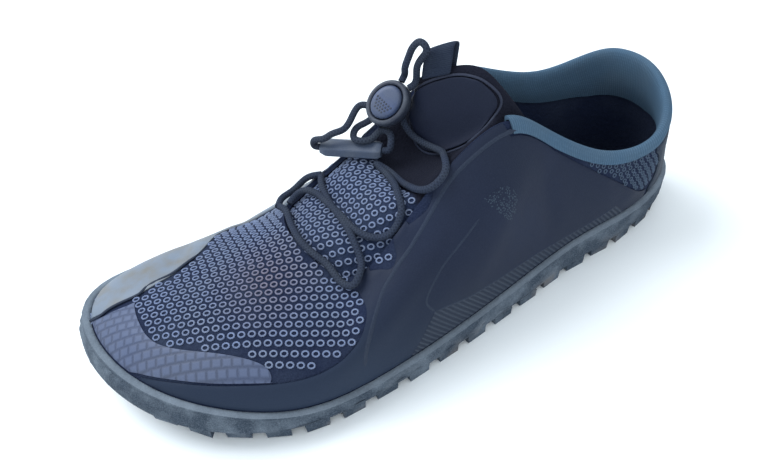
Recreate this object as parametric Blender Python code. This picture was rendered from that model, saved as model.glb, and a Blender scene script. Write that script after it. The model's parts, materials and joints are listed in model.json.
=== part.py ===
"""Low trail shoe with a thin flexible sole, left foot, standing empty on its sole.

+X points to the toe, +Y to the wearer's left (the outer side of this left shoe), +Z up.
The origin is under the middle of the shoe on the ground.
"""

import bmesh
import bpy
import numpy as np
from mathutils import Vector
from mathutils.bvhtree import BVHTree
from mathutils.geometry import delaunay_2d_cdt

# Driving sizes in metres.
LENGTH = 0.282
BALL_WIDTH = 0.1015
INSTEP_HEIGHT = 0.0868
LUG_HEIGHT = 0.003
PLATE = 0.0025
CUP_WALL = 0.0026
BEAD = 0.0008
TOE_SPRING = 0.011
HEEL_LIFT = 0.0012
UPPER_WALL = 0.0018
PANEL = 0.0009
FILM = 0.0006
GAP = 0.0003
INSOLE = 0.003
TONGUE = 0.0024
BAND_WIDTH = 0.0055
HEEL_BAND = 0.5
BAND = 0.0013
COLLAR_PAD = 0.0024
LACE = 0.0029
LOCK_LONG = 0.020
LOCK_SHORT = 0.017
LOCK_BASE = 0.0046
LOCK_RIM = 0.0033
LOCK_WALL = 0.0016
LOCK_EDGE = 0.0023
BUTTON_TOP = 0.0048
BUTTON_TRAVEL = 0.0025
GRIP_LENGTH = 0.027
GRIP_WIDTH = 0.0086
GRIP_THICK = 0.005
LOOP_WIDTH = 0.0078
LOOP_HEIGHT = 0.0095
LOOP_ACROSS = 0.55
WEBBING = 0.0012
LUGS_AROUND = 42
STEPS_AROUND = 72
UPPER_ROWS = 14
TONGUE_STEPS = (25, 19)

TURN_STEP = 360 / STEPS_AROUND
PATCH_STEP = (TURN_STEP, 1 / UPPER_ROWS)
SPRING_FROM = 0.68
FLOOR = LUG_HEIGHT + PLATE

# The shoe read round its edge, from the middle of the heel (0) along the outer side to the toe (180)
# and back along the inner side. Shares: edge, tuck and top_y of BALL_WIDTH, top_x and reach of LENGTH,
# rim, top_z and rise of INSTEP_HEIGHT. Slope is in degrees.
# angle, edge, tuck, rim, top_x, top_y, top_z, rise, reach, slope
AROUND = (
    (0, 0.000, 0.042, 0.232, 0.053, 0.000, 0.845, 0.325, 0.073, 82.5),
    (15, 0.139, 0.040, 0.231, 0.059, 0.117, 0.818, 0.325, 0.075, 82.5),
    (30, 0.236, 0.034, 0.222, 0.078, 0.234, 0.747, 0.286, 0.070, 83.0),
    (45, 0.304, 0.028, 0.220, 0.122, 0.306, 0.652, 0.238, 0.061, 84.0),
    (60, 0.346, 0.024, 0.212, 0.206, 0.277, 0.652, 0.222, 0.058, 81.0),
    (75, 0.420, 0.022, 0.189, 0.298, 0.211, 0.855, 0.248, 0.078, 68.0),
    (90, 0.500, 0.022, 0.168, 0.374, 0.198, 0.995, 0.254, 0.114, 56.0),
    (105, 0.560, 0.026, 0.152, 0.471, 0.228, 0.868, 0.233, 0.110, 47.5),
    (120, 0.568, 0.036, 0.152, 0.552, 0.269, 0.668, 0.205, 0.101, 38.0),
    (135, 0.478, 0.048, 0.178, 0.613, 0.286, 0.528, 0.230, 0.101, 26.5),
    (150, 0.305, 0.062, 0.196, 0.647, 0.228, 0.516, 0.276, 0.132, 16.5),
    (165, 0.075, 0.077, 0.206, 0.666, 0.126, 0.549, 0.316, 0.164, 13.5),
    (180, -0.150, 0.087, 0.216, 0.675, 0.029, 0.570, 0.338, 0.181, 17.5),
    (195, -0.297, 0.080, 0.222, 0.677, -0.056, 0.575, 0.340, 0.176, 28.0),
    (210, -0.377, 0.068, 0.225, 0.671, -0.134, 0.567, 0.305, 0.146, 40.0),
    (225, -0.420, 0.053, 0.222, 0.650, -0.200, 0.573, 0.285, 0.119, 48.0),
    (240, -0.422, 0.040, 0.218, 0.588, -0.225, 0.655, 0.288, 0.105, 52.0),
    (255, -0.396, 0.036, 0.215, 0.487, -0.252, 0.815, 0.312, 0.112, 58.0),
    (270, -0.350, 0.034, 0.198, 0.378, -0.278, 0.955, 0.318, 0.116, 64.5),
    (285, -0.330, 0.032, 0.188, 0.284, -0.305, 0.852, 0.277, 0.087, 71.5),
    (300, -0.342, 0.030, 0.196, 0.192, -0.317, 0.730, 0.246, 0.065, 79.0),
    (315, -0.335, 0.032, 0.208, 0.117, -0.293, 0.748, 0.256, 0.064, 83.0),
    (330, -0.276, 0.035, 0.221, 0.074, -0.224, 0.806, 0.290, 0.066, 83.5),
    (345, -0.160, 0.039, 0.229, 0.057, -0.116, 0.838, 0.320, 0.072, 83.0),
)

# Where the tongue runs, from inside the throat's lower end up to its top edge. The two angles say where
# its side edges sit inside the upper. Shares as above: x of LENGTH, y of BALL_WIDTH, z of INSTEP_HEIGHT.
# outer_angle, inner_angle, outer shoulder x y z, middle x y z, inner shoulder x y z
TONGUE_ROWS = (
    (130, 229, 0.624, 0.167, 0.595, 0.631, 0.039, 0.622, 0.631, -0.089, 0.612),
    (124, 236, 0.589, 0.177, 0.618, 0.597, 0.039, 0.636, 0.603, -0.099, 0.638),
    (119, 241, 0.560, 0.167, 0.703, 0.571, 0.039, 0.706, 0.578, -0.099, 0.696),
    (114, 246, 0.532, 0.167, 0.745, 0.541, 0.034, 0.731, 0.550, -0.103, 0.728),
    (109, 251, 0.507, 0.148, 0.745, 0.509, 0.030, 0.706, 0.521, -0.118, 0.712),
    (104, 256, 0.466, 0.138, 0.802, 0.477, 0.010, 0.718, 0.493, -0.138, 0.724),
    (98, 261, 0.408, 0.138, 0.882, 0.435, 0.000, 0.789, 0.456, -0.143, 0.812),
    (92, 266, 0.386, 0.133, 0.940, 0.424, -0.010, 0.908, 0.450, -0.163, 0.895),
    (85, 271, 0.373, 0.118, 1.035, 0.413, -0.020, 1.035, 0.441, -0.185, 0.972),
    (77, 277, 0.362, 0.100, 1.140, 0.402, -0.035, 1.172, 0.433, -0.195, 1.030),
)

# The sole's side above its plate: share of the way up to the rim, and thickness in CUP_WALL. The bead
# stands out near the top.
SIDE_RINGS = (
    (0.50, 0.96), (0.82, 0.84), (0.87, 0.84 + BEAD / CUP_WALL), (0.96, 0.80 + BEAD / CUP_WALL), (1.02, 0.60),
)

# The tongue's lower end lies under the vamp: two ribs across, as angle and share up the side.
TONGUE_ROOT = (
    (
        (148, 0.760), (150, 0.800), (153, 0.840), (162, 0.860), (179, 0.860),
        (197, 0.860), (209, 0.840), (213, 0.800), (216, 0.760),
    ),
    (
        (139, 0.810), (141, 0.865), (145, 0.920), (158, 0.965), (179, 0.975),
        (200, 0.965), (216, 0.920), (221, 0.865), (223, 0.810),
    ),
)

# Border of the smooth panel on the tongue, as shares along and across it.
TONGUE_BORDER = (
    (0.755, 0.33), (0.85, 0.29), (0.94, 0.31), (0.966, 0.46), (0.945, 0.59), (0.86, 0.66), (0.75, 0.65), (0.70, 0.50),
)

# Borders of the smooth panels on the upper, as angle and share up the side. The parts along the sole's
# rim and under the collar's band are worked out, so they aren't listed.
OUTER_TOE = (
    (157.6, 0.232), (155, 0.262), (151, 0.308), (146, 0.350), (140, 0.385), (134, 0.392), (129, 0.392),
    (124.5, 0.402), (121.8, 0.440), (121, 0.500), (122, 0.580), (125, 0.690), (129, 0.790), (134, 0.890),
    (137.6, 0.955),
)
OUTER_EYES = (
    (136.8, 0.985), (133.6, 0.985), (130, 0.962), (126, 0.915), (122.6, 0.872), (121.2, 0.900), (121.7, 0.955),
    (121.6, 0.985), (119.2, 0.985), (116.5, 0.972), (113, 0.950), (110.4, 0.948), (108.9, 0.970), (108.4, 0.985),
)
OUTER_REAR = ((74.5, 0.900), (69, 0.885), (62, 0.840), (55, 0.720), (48, 0.540), (42.5, 0.400), (38, 0.330))
INNER_TOE = (
    (181.5, 0.220), (180.8, 0.300), (181.6, 0.400), (183.2, 0.500), (186, 0.590), (189.5, 0.660), (194, 0.700),
    (200, 0.690), (207, 0.650), (214, 0.610), (221, 0.605), (226, 0.650), (228, 0.750), (226, 0.860), (221.4, 0.950),
)
INNER_EYES = (
    (219.6, 0.985), (224, 0.985), (226, 0.955), (230, 0.905), (234, 0.905), (235.8, 0.950), (236.2, 0.985),
    (239.4, 0.985), (241, 0.955), (245, 0.935), (249, 0.950), (251, 0.985),
)
INNER_REAR = ((285.5, 0.900), (291, 0.885), (298, 0.840), (305, 0.720), (312, 0.540), (317.5, 0.400), (322, 0.330))
FILM_MESH = (
    (180.4, 0.475), (177, 0.462), (173, 0.450), (168, 0.435), (163.5, 0.440), (159, 0.483), (154, 0.533),
    (148, 0.548), (142, 0.517), (137.5, 0.455), (135.6, 0.408),
)
COUNTER_SIDE = ((35.5, 0.300), (33.5, 0.420), (36, 0.600), (40, 0.770), (43, 0.862))

# The lace's stretches over the tongue, as points on its middle line. Shares of the same sizes.
LACE_LOWER = (
    (0.6706, -0.1871, 0.5746), (0.6664, -0.1406, 0.5881), (0.6676, -0.0908, 0.5837), (0.6698, -0.0411, 0.5860),
    (0.6706, 0.0089, 0.5885), (0.6697, 0.0589, 0.5865), (0.6654, 0.1067, 0.5763), (0.6585, 0.1510, 0.5612),
    (0.6511, 0.1952, 0.5480), (0.6480, 0.2432, 0.5356), (0.6442, 0.2904, 0.5212), (0.6343, 0.3292, 0.5270),
    (0.6203, 0.3130, 0.5552), (0.6104, 0.2725, 0.5639), (0.6076, 0.2305, 0.5916), (0.6072, 0.1886, 0.6234),
    (0.6063, 0.1402, 0.6383), (0.6068, 0.0907, 0.6475), (0.6083, 0.0410, 0.6534), (0.6093, -0.0090, 0.6557),
    (0.6089, -0.0591, 0.6563), (0.6074, -0.1090, 0.6596), (0.6038, -0.1580, 0.6621), (0.5970, -0.2039, 0.6556),
)
LACE_SIDE = (
    (0.6718, -0.1974, 0.5658), (0.6605, -0.2378, 0.5687), (0.6426, -0.2511, 0.5763), (0.6261, -0.2513, 0.6080),
    (0.6124, -0.2335, 0.6448), (0.5968, -0.2069, 0.6599),
)
LACE_MIDDLE = (
    (0.6563, -0.1736, 0.5855), (0.6404, -0.1873, 0.6111), (0.6276, -0.1592, 0.6423), (0.6183, -0.1134, 0.6495),
    (0.6142, -0.0615, 0.6548), (0.6109, -0.0089, 0.6561), (0.6067, 0.0432, 0.6538), (0.6032, 0.0956, 0.6481),
    (0.5994, 0.1475, 0.6402), (0.5909, 0.1950, 0.6365), (0.5775, 0.2333, 0.6363), (0.5613, 0.2525, 0.6561),
    (0.5467, 0.2452, 0.6959), (0.5368, 0.2228, 0.7415), (0.5322, 0.1771, 0.7669), (0.5270, 0.1260, 0.7609),
    (0.5228, 0.0749, 0.7485), (0.5214, 0.0222, 0.7395), (0.5218, -0.0309, 0.7327), (0.5246, -0.0836, 0.7347),
)
LACE_UPPER = (
    (0.5246, -0.0836, 0.7353), (0.5184, -0.0493, 0.7293), (0.5131, 0.0177, 0.7327), (0.5121, 0.0857, 0.7454),
    (0.5111, 0.1482, 0.7718), (0.5064, 0.2128, 0.8018), (0.4952, 0.2595, 0.8440), (0.4740, 0.2507, 0.8898),
    (0.4621, 0.1931, 0.8963), (0.4525, 0.1300, 0.8652), (0.4454, 0.0739, 0.8295), (0.4479, 0.0108, 0.8076),
    (0.4576, -0.0520, 0.8113), (0.4638, -0.1034, 0.8295), (0.4660, -0.1438, 0.8664),
)
# The lace's free stretches, between the cord lock, the bar and the air. Their ends are worked out.
HAIRPIN = (
    (0.4549, -0.1642, 1.1348), (0.4495, -0.1529, 1.1982), (0.4447, -0.1321, 1.2558), (0.4377, -0.1143, 1.2788),
    (0.4333, -0.0939, 1.2615), (0.4355, -0.1105, 1.2039), (0.4417, -0.1323, 1.1406),
)
TAIL_INNER = (
    (0.5520, -0.2027, 0.8813), (0.5690, -0.2223, 0.8583), (0.5819, -0.2395, 0.8318), (0.5925, -0.2800, 0.7990),
)
TAIL_OUTER = (
    (0.5357, -0.1994, 0.8583), (0.5418, -0.1756, 0.8364), (0.5340, -0.1454, 0.8318), (0.5177, -0.1360, 0.8364),
    (0.5024, -0.1475, 0.8502), (0.4940, -0.1305, 0.8468), (0.4981, -0.0822, 0.8187),
)

# The cord lock's middle and the bar's, as shares, the way the lock faces, the way its longer side
# rises, the way the bar runs towards the outer side, and the way the bar's broad face looks.
LOCK_PLACE = (0.4830, -0.1695, 0.9677)
LOCK_FACING = (0.55, 0.45, 0.70)
LOCK_RISE = (-0.44, 0.20, 0.87)
GRIP_PLACE = (0.5475, -0.1833, 0.7742)
GRIP_ALONG = (-0.769, 0.636, 0.061)
GRIP_FACING = (0.30, 0.30, 0.90)


def spline(rows, period=0.0):
    """A smooth curve through the rows, whose first number is the place along it. Gives a function."""
    rows = np.array(rows, float)
    at, value = rows[:, 0], rows[:, 1:]
    count = len(at)
    step = np.diff(np.append(at, at[0] + period)) if period else np.diff(at)
    matrix = np.zeros((count, count))
    right = np.zeros_like(value)
    for i in range(count):
        if not period and i in (0, count - 1):
            matrix[i, i] = 1
            continue
        before, after = (i - 1) % count, (i + 1) % count
        matrix[i, before] += step[before]
        matrix[i, i] += 2 * (step[before] + step[i])
        matrix[i, after] += step[i]
        right[i] = 6 * (value[after] - value[i]) / step[i] - 6 * (value[i] - value[before]) / step[before]
    bend = np.linalg.solve(matrix, right)

    def curve(q):
        q = np.asarray(q, float)
        q = at[0] + (q - at[0]) % period if period else q
        i = np.clip(np.searchsorted(at, q, side="right") - 1, 0, len(step) - 1)
        j = (i + 1) % count
        t = (q - at[i])[..., None]
        h = step[i][..., None]
        cubic = (bend[i] * (h - t) ** 3 + bend[j] * t**3) / (6 * h)
        return cubic + (value[i] / h - bend[i] * h / 6) * (h - t) + (value[j] / h - bend[j] * h / 6) * t

    return curve


around = spline(AROUND, 360.0)
UP = np.array([0.0, 0.0, 1.0])


def unit(vectors):
    return vectors / np.linalg.norm(vectors, axis=-1, keepdims=True)


def spring(x):
    """Height of the ground line: it lifts towards the toe, and a little at the back of the heel."""
    toe = np.clip((x / LENGTH - SPRING_FROM) / (1 - SPRING_FROM), 0, None)
    heel = np.clip((0.09 - x / LENGTH) / 0.09, 0, None)
    return TOE_SPRING * toe**2 + HEEL_LIFT * heel**2


def edge(angle):
    """The sole's outline in plan, and the direction out of it."""

    def point(a):
        return np.stack([LENGTH * (1 - np.cos(np.radians(a))) / 2, BALL_WIDTH * around(a)[..., 0]], -1)

    along = unit(point(angle + 0.5) - point(angle - 0.5))
    return point(angle), np.stack([-along[..., 1], along[..., 0]], -1)


def bare(angle, v):
    """Outer face of the upper: v is 0 at the sole and 1 at the opening."""
    angle, v = np.broadcast_arrays(np.asarray(angle, float), np.asarray(v, float))
    row = around(angle)
    plan, out = edge(angle)
    out = np.concatenate([out, np.zeros(out.shape[:-1] + (1,))], -1)
    foot = plan - out[..., :2] * (CUP_WALL + GAP)
    foot = np.concatenate([foot, FLOOR + GAP + spring(foot[..., :1])], -1)
    top = row[..., 3:6] * [LENGTH, BALL_WIDTH, INSTEP_HEIGHT]
    slope = np.radians(row[..., 8:9])
    lower = foot + INSTEP_HEIGHT * row[..., 6:7] * (0.9985 * UP + 0.055 * out)
    upper = top + LENGTH * row[..., 7:8] * (np.cos(slope) * out - np.sin(slope) * UP)
    v = v[..., None]
    return foot * (1 - v) ** 3 + 3 * lower * v * (1 - v) ** 2 + 3 * upper * v * v * (1 - v) + top * v**3


def upper_face(angle, v, lift=0.0):
    """Points lifted off the upper's outer face; a negative lift goes inward."""
    angle, v, lift = np.broadcast_arrays(np.asarray(angle, float), np.asarray(v, float), np.asarray(lift, float))
    across = bare(angle + 0.4, v) - bare(angle - 0.4, v)
    upward = bare(angle, v + 0.01) - bare(angle, v - 0.01)
    return bare(angle, v) + unit(np.cross(upward, across)) * lift[..., None]


def further(angle, v, distance):
    """The share that lies a distance further up the side than v."""
    angle, v = np.broadcast_arrays(np.asarray(angle, float), np.asarray(v, float))
    speed = np.linalg.norm(bare(angle, v + 0.005) - bare(angle, v - 0.005), axis=-1) / 0.01
    return v + distance / speed


def rim(angle):
    """The share up the side where the sole's rim ends."""
    angle = np.atleast_1d(np.asarray(angle, float))
    tries = np.linspace(0, 0.7, 71)
    height = bare(angle[:, None], tries[None, :])[..., 2] - spring(edge(angle)[0][:, :1])
    want = around(angle)[:, 2] * INSTEP_HEIGHT
    return np.array([np.interp(w, h, tries) for w, h in zip(want, height)])


def side_ring(angle, top, share, lift):
    """One line round the sole's side: a share of the way up to its rim, and a lift in rim thicknesses."""
    return upper_face(angle, top * share, CUP_WALL * lift)


def middle():
    """The middle of the shoe in plan, between the widest points of its sole's side."""
    angle = np.arange(STEPS_AROUND) * TURN_STEP
    lines = np.concatenate([side_ring(angle, rim(angle), *ring) for ring in SIDE_RINGS])
    return np.array([LENGTH / 2, (lines[:, 1].max() + lines[:, 1].min()) / 2, 0])


CENTRE = middle()


def under_band(angle):
    """The share where the collar's band ends on the outside. The band is narrow round the heel."""
    turn = np.abs((np.asarray(angle, float) + 180) % 360 - 180)
    width = BAND_WIDTH * np.interp(turn, (0, 50, 62, 74), (HEEL_BAND, HEEL_BAND, 0.7, 1.0))
    return further(angle, further(angle, 0.999, -width / 2), -width / 2 - GAP)


shoe = bpy.data.collections.new("Trail_shoe")
cutters = bpy.data.collections.new("Cutters")


def start():
    for old in list(bpy.data.objects):
        bpy.data.objects.remove(old)
    bpy.context.scene.collection.children.link(shoe)
    bpy.context.scene.collection.children.link(cutters)


def paint(name, colour, roughness):
    material = bpy.data.materials.new(name)
    material.use_nodes = True
    shader = material.node_tree.nodes["Principled BSDF"]
    shader.inputs["Base Color"].default_value = (*colour, 1)
    shader.inputs["Roughness"].default_value = roughness
    material.diffuse_color = (*colour, 1)
    return material


def solid(name, points, faces, colour, roughness=0.7, cutter=False, origin=CENTRE):
    """One closed body. The shoe is centred on the origin here, so the tables can start at the heel."""
    points = np.array(points, float) - origin
    mesh = bpy.data.meshes.new(name)
    mesh.from_pydata([tuple(p) for p in points], [], faces)
    shape = bmesh.new()
    shape.from_mesh(mesh)
    bmesh.ops.remove_doubles(shape, verts=shape.verts, dist=2e-6)
    bmesh.ops.dissolve_degenerate(shape, edges=shape.edges, dist=2e-6)
    bmesh.ops.recalc_face_normals(shape, faces=shape.faces)
    shape.to_mesh(mesh)
    shape.free()
    body = bpy.data.objects.new(name, mesh)
    body.location = origin - CENTRE
    mesh.materials.append(paint(name, colour, roughness))
    if cutter:
        cutters.objects.link(body)
        body.hide_render = True
        body.display_type = "WIRE"
    else:
        shoe.objects.link(body)
    return body


def shell(name, front, back, colour, roughness=0.7, closed=False):
    """A body between two grids of the same size. With closed, the grids run round and meet."""
    rows, columns = front.shape[:2]
    points = np.concatenate([front.reshape(-1, 3), back.reshape(-1, 3)])
    half = rows * columns
    faces = []
    for i in range(rows if closed else rows - 1):
        for j in range(columns - 1):
            a, b = i * columns + j, (i + 1) % rows * columns + j
            faces.append((a, b, b + 1, a + 1))
            faces.append((half + a, half + a + 1, half + b + 1, half + b))
        for j in (0, columns - 1):
            a, b = i * columns + j, (i + 1) % rows * columns + j
            faces.append((a, half + a, half + b, b))
    if not closed:
        for i in (0, rows - 1):
            for j in range(columns - 1):
                a = i * columns + j
                faces.append((a, a + 1, half + a + 1, half + a))
    return solid(name, points, faces, colour, roughness)


def stack(rings):
    """Faces round a list of rings of equal length, one after the other."""
    count = len(rings[0])
    faces = []
    for k in range(len(rings) - 1):
        for i in range(count):
            j = (i + 1) % count
            faces.append((k * count + i, k * count + j, (k + 1) * count + j, (k + 1) * count + i))
    return faces


def fill(ring, first, start_at, height, across=5):
    """Closes a ring with a grid from side to side. Its own points get the height of their place."""
    count = len(ring)
    half = count // 2
    points = []
    rows = [[first] * (across + 1)]
    for i in range(1, half):
        row = [first + i]
        for k in range(1, across):
            place = ring[i] + (ring[count - i] - ring[i]) * k / across
            points.append([place[0], place[1], height(place[0])])
            row.append(start_at + len(points) - 1)
        rows.append(row + [first + count - i])
    rows.append([first + half] * (across + 1))
    faces = []
    for one, two in zip(rows, rows[1:]):
        for k in range(across):
            face = []
            for corner in (one[k], two[k], two[k + 1], one[k + 1]):
                if corner not in face:
                    face.append(corner)
            if len(face) > 2:
                faces.append(face)
    return points, faces


def tray(name, rings, low, high, colour, roughness=0.7, cutter=False):
    """A body made of rings, closed across its first and its last one."""
    points = [p for ring in rings for p in ring]
    faces = stack(rings)
    for ring, first, height in ((rings[0], 0, low), (rings[-1], len(points) - len(rings[-1]), high)):
        more, skin = fill(ring, first, len(points), height)
        points = points + more
        faces = faces + skin
    return solid(name, points, faces, colour, roughness, cutter)


def smooth_border(rows, count):
    """A smooth line through a few rows, sampled evenly."""
    rows = np.array(rows, float)
    return spline(np.column_stack([np.linspace(0, 1, len(rows)), rows]))(np.linspace(0, 1, count))


def patch(name, border, low, high, colour, roughness, face=upper_face, step=PATCH_STEP, scale=(1.0, 40.0)):
    """A sheet that follows a curved face inside a border drawn on it, between two lifts."""
    border = np.array(border, float)
    keep = [0]
    for i in range(1, len(border)):
        if np.linalg.norm((border[i] - border[keep[-1]]) * scale) > 0.25:
            keep.append(i)
    border = border[keep]
    low_end, high_end = border.min(0), border.max(0)
    inside = []
    first = np.ceil(low_end / step) * step
    for a in np.arange(first[0], high_end[0], step[0]):
        for b in np.arange(first[1], high_end[1], step[1]):
            gaps = (border - [a, b]) * scale
            if np.linalg.norm(gaps, axis=1).min() > 0.55 * min(step[0], step[1] * scale[1]):
                inside.append((a, b))
    flat = np.concatenate([border, np.array(inside).reshape(-1, 2)]) * scale
    count = len(border)
    edges = [(i, (i + 1) % count) for i in range(count)]
    made = delaunay_2d_cdt([Vector(p) for p in flat], edges, [], 1, 1e-6)
    used = sorted({i for triangle in made[2] for i in triangle})
    place = np.array([made[0][i][:] for i in used]) / scale
    number = {old: new for new, old in enumerate(used)}
    triangles = [tuple(number[i] for i in triangle) for triangle in made[2]]
    front = face(place[:, 0], place[:, 1], high)
    back = face(place[:, 0], place[:, 1], low)
    total = len(place)
    sides = {}
    for triangle in triangles:
        for i in range(3):
            sides[(triangle[i], triangle[(i + 1) % 3])] = True
    faces = triangles + [tuple(total + i for i in reversed(t)) for t in triangles]
    for a, b in sides:
        if (b, a) not in sides:
            faces.append((b, a, total + a, total + b))
    return solid(name, np.concatenate([front, back]), faces, colour, roughness)


def placed(rows):
    """Shares of the shoe's length, width and height as places."""
    return np.array(rows, float) * [LENGTH, BALL_WIDTH, INSTEP_HEIGHT]


def smooth_line(route, spacing):
    """Points at even steps on a smooth curve through the route."""
    route = np.array(route, float)
    along = np.append(0, np.cumsum(np.linalg.norm(np.diff(route, axis=0), axis=1)))
    count = int(round(along[-1] / spacing)) + 1
    return spline(np.column_stack([along, route]))(np.linspace(0, along[-1], count))


def tube(name, line, colour=(0.055, 0.075, 0.10)):
    """A round cord with its middle on the line."""
    curve = bpy.data.curves.new(name, "CURVE")
    curve.dimensions = "3D"
    curve.bevel_depth = LACE / 2
    curve.bevel_resolution = 2
    curve.use_fill_caps = True
    run = curve.splines.new("POLY")
    run.points.add(len(line) - 1)
    for point, place in zip(run.points, line):
        point.co = (*(place - CENTRE), 1)
    curve.materials.append(paint(name, colour, 0.8))
    body = bpy.data.objects.new(name, curve)
    shoe.objects.link(body)
    return body


def as_mesh(body, cutter):
    """The same tube as a closed mesh, which a boolean can join."""
    name = body.name
    bpy.context.view_layer.update()
    seen = body.evaluated_get(bpy.context.evaluated_depsgraph_get())
    mesh = bpy.data.meshes.new_from_object(seen)
    place = body.matrix_world.copy()
    bpy.data.objects.remove(body)
    shape = bmesh.new()
    shape.from_mesh(mesh)
    bmesh.ops.remove_doubles(shape, verts=shape.verts, dist=2e-6)
    shape.to_mesh(mesh)
    shape.free()
    joined = bpy.data.objects.new(name, mesh)
    joined.matrix_world = place
    (cutters if cutter else shoe).objects.link(joined)
    if cutter:
        joined.hide_render = True
        joined.display_type = "WIRE"
    return joined


def combine(body, other, operation):
    step = body.modifiers.new(other.name, "BOOLEAN")
    step.operation = operation
    step.solver = "EXACT"
    step.object = other


RUBBER = (0.075, 0.105, 0.14)
MESH = (0.10, 0.14, 0.22)
BLACK = (0.016, 0.022, 0.04)
PALE = (0.13, 0.21, 0.29)
PLASTIC = (0.012, 0.016, 0.028)


def make_outsole():
    """Cup sole: a bottom plate, a side that rises into a beaded rim and holds the upper, and lugs."""
    angle = np.arange(STEPS_AROUND) * TURN_STEP
    plan, out = edge(angle)
    tuck = around(angle)[:, 1:2] * BALL_WIDTH
    top = rim(angle)

    def ring(inset, height):
        place = plan - out * inset
        return np.column_stack([place, spring(place[:, 0]) + height])

    rings = [ring(tuck, LUG_HEIGHT), ring(tuck * 0.4, LUG_HEIGHT + 0.0018), ring(0.0002, LUG_HEIGHT + 0.0045)]
    for share, lift in SIDE_RINGS:
        rings.append(side_ring(angle, top, share, lift))
    for share in (1.0, 0.7, 0.35, 0.0):
        rings.append(upper_face(angle, top * share, GAP))
    rings[-1] = rings[-1] - [0, 0, GAP]
    body = tray(
        "outsole", rings, lambda x: spring(x) + LUG_HEIGHT, lambda x: spring(x) + FLOOR, RUBBER, 0.75
    )

    points, faces = [], []

    def lug(corners, low, high):
        """One block: its foot follows the ground line and its top is buried in the plate."""
        first = len(points)
        centre = np.mean(corners, axis=0)
        for share, height in ((low, 0.0), (high, LUG_HEIGHT + PLATE / 3)):
            for corner in corners:
                place = centre + (np.array(corner) - centre) * share
                points.append([place[0], place[1], spring(place[0]) + height])
        count = len(corners)
        faces.append(tuple(first + i for i in range(count)))
        faces.append(tuple(first + count + i for i in reversed(range(count))))
        for i in range(count):
            j = (i + 1) % count
            faces.append((first + i, first + j, first + count + j, first + count + i))

    fine = np.linspace(0, 360, 721)
    line = edge(fine)[0]
    length = np.append(0, np.cumsum(np.linalg.norm(np.diff(line, axis=0), axis=1)))
    pitch = length[-1] / LUGS_AROUND
    for k in range(LUGS_AROUND):
        ends = np.interp([pitch * (k + 0.17), pitch * (k + 0.83)], length, fine)
        (p, q), (m, n) = edge(ends)
        a, b = around(ends)[:, 1] * BALL_WIDTH + 0.0004
        deep = BALL_WIDTH * (0.075 if k % 2 else 0.105)
        lug([p - m * a, q - n * b, q - n * (b + deep), p - m * (a + deep)], 0.93, 1.0)
    combine(body, solid("edge_lugs", points, faces, RUBBER, cutter=True), "UNION")
    points, faces = [], []
    wide = BALL_WIDTH * 0.042
    for i in range(14):
        x = LENGTH * (0.10 + 0.8 * i / 13)
        at = np.degrees(np.arccos(1 - 2 * x / LENGTH))
        outer, inner = edge(at)[0][1], edge(360 - at)[0][1]
        room = (outer - inner) / 2 - BALL_WIDTH * 0.19
        for k in range(-2, 3):
            y = (outer + inner) / 2 + (k + 0.5 * (i % 2)) * BALL_WIDTH * 0.15
            if abs(y - (outer + inner) / 2) < room:
                lug([(x - wide, y), (x, y - wide * 0.9), (x + wide, y), (x, y + wide * 0.9)], 0.9, 1.0)
    combine(body, solid("studs", points, faces, RUBBER, cutter=True), "UNION")


def make_upper():
    """Sock-like mesh upper: one hollow wall, open at the collar, down the throat and at the sole."""
    angle = np.arange(STEPS_AROUND)[:, None] * TURN_STEP
    v = np.linspace(0, 1, UPPER_ROWS + 1)[None, :]
    shell("upper", upper_face(angle, v, 0.0), upper_face(angle, v, -UPPER_WALL), MESH, 0.9, closed=True)


def make_insole():
    angle = np.arange(36) * 360.0 / 36
    plan, out = edge(angle)
    place = plan - out * (CUP_WALL + GAP + UPPER_WALL + 0.0009)
    low = spring(place[:, 0]) + FLOOR + GAP
    rings = [np.column_stack([place - out * s, low + h]) for s, h in ((0, 0), (0, INSOLE * 0.7), (0.001, INSOLE))]
    tray(
        "insole",
        rings,
        lambda x: spring(x) + FLOOR + GAP,
        lambda x: spring(x) + FLOOR + GAP + INSOLE,
        (0.03, 0.035, 0.045),
        0.9,
    )


def side_offset(angle):
    """How far inside the upper's outer face the tongue's sides lie: more where the collar is padded."""
    turn = np.abs((np.asarray(angle, float) + 180) % 360 - 180)
    padded = np.clip((93 - turn) / 6, 0, 1)
    return UPPER_WALL + GAP * 2.6 + padded * (COLLAR_PAD + GAP)


def tongue_rib(row):
    """Points across the tongue from its outer edge to its inner one."""
    outer, inner = row[0], row[1]
    size = np.array([LENGTH, BALL_WIDTH, INSTEP_HEIGHT])
    shoulders = np.array(row[2:]).reshape(3, 3) * size
    left = [upper_face(outer, v, -side_offset(outer)) for v in (0.86, 0.93, 0.995)]
    right = [upper_face(inner, v, -side_offset(inner)) for v in (0.995, 0.93, 0.86)]
    return np.array(left + list(shoulders) + right)


def tongue_grid():
    """The tongue's outer face: ribs across, joined by smooth lines along."""
    ribs = [np.array([upper_face(a, v, -UPPER_WALL - GAP * 1.6) for a, v in rib]) for rib in TONGUE_ROOT]
    ribs += [tongue_rib(row) for row in TONGUE_ROWS]
    ribs = np.array(ribs)
    across = np.array([0, 0.07, 0.14, 0.32, 0.5, 0.68, 0.86, 0.93, 1.0])
    along_steps, across_steps = TONGUE_STEPS
    fine = np.linspace(0, 1, across_steps)
    ribs = np.array([spline(np.column_stack([across, rib]))(fine) for rib in ribs])
    flat = ribs.reshape(len(ribs), -1)
    along = np.append(0, np.cumsum(np.linalg.norm(np.diff(ribs[:, across_steps // 2], axis=0), axis=1)))
    curve = spline(np.column_stack([along / along[-1], flat]))
    return curve(np.linspace(0, 1, along_steps)).reshape(along_steps, across_steps, 3)


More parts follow.
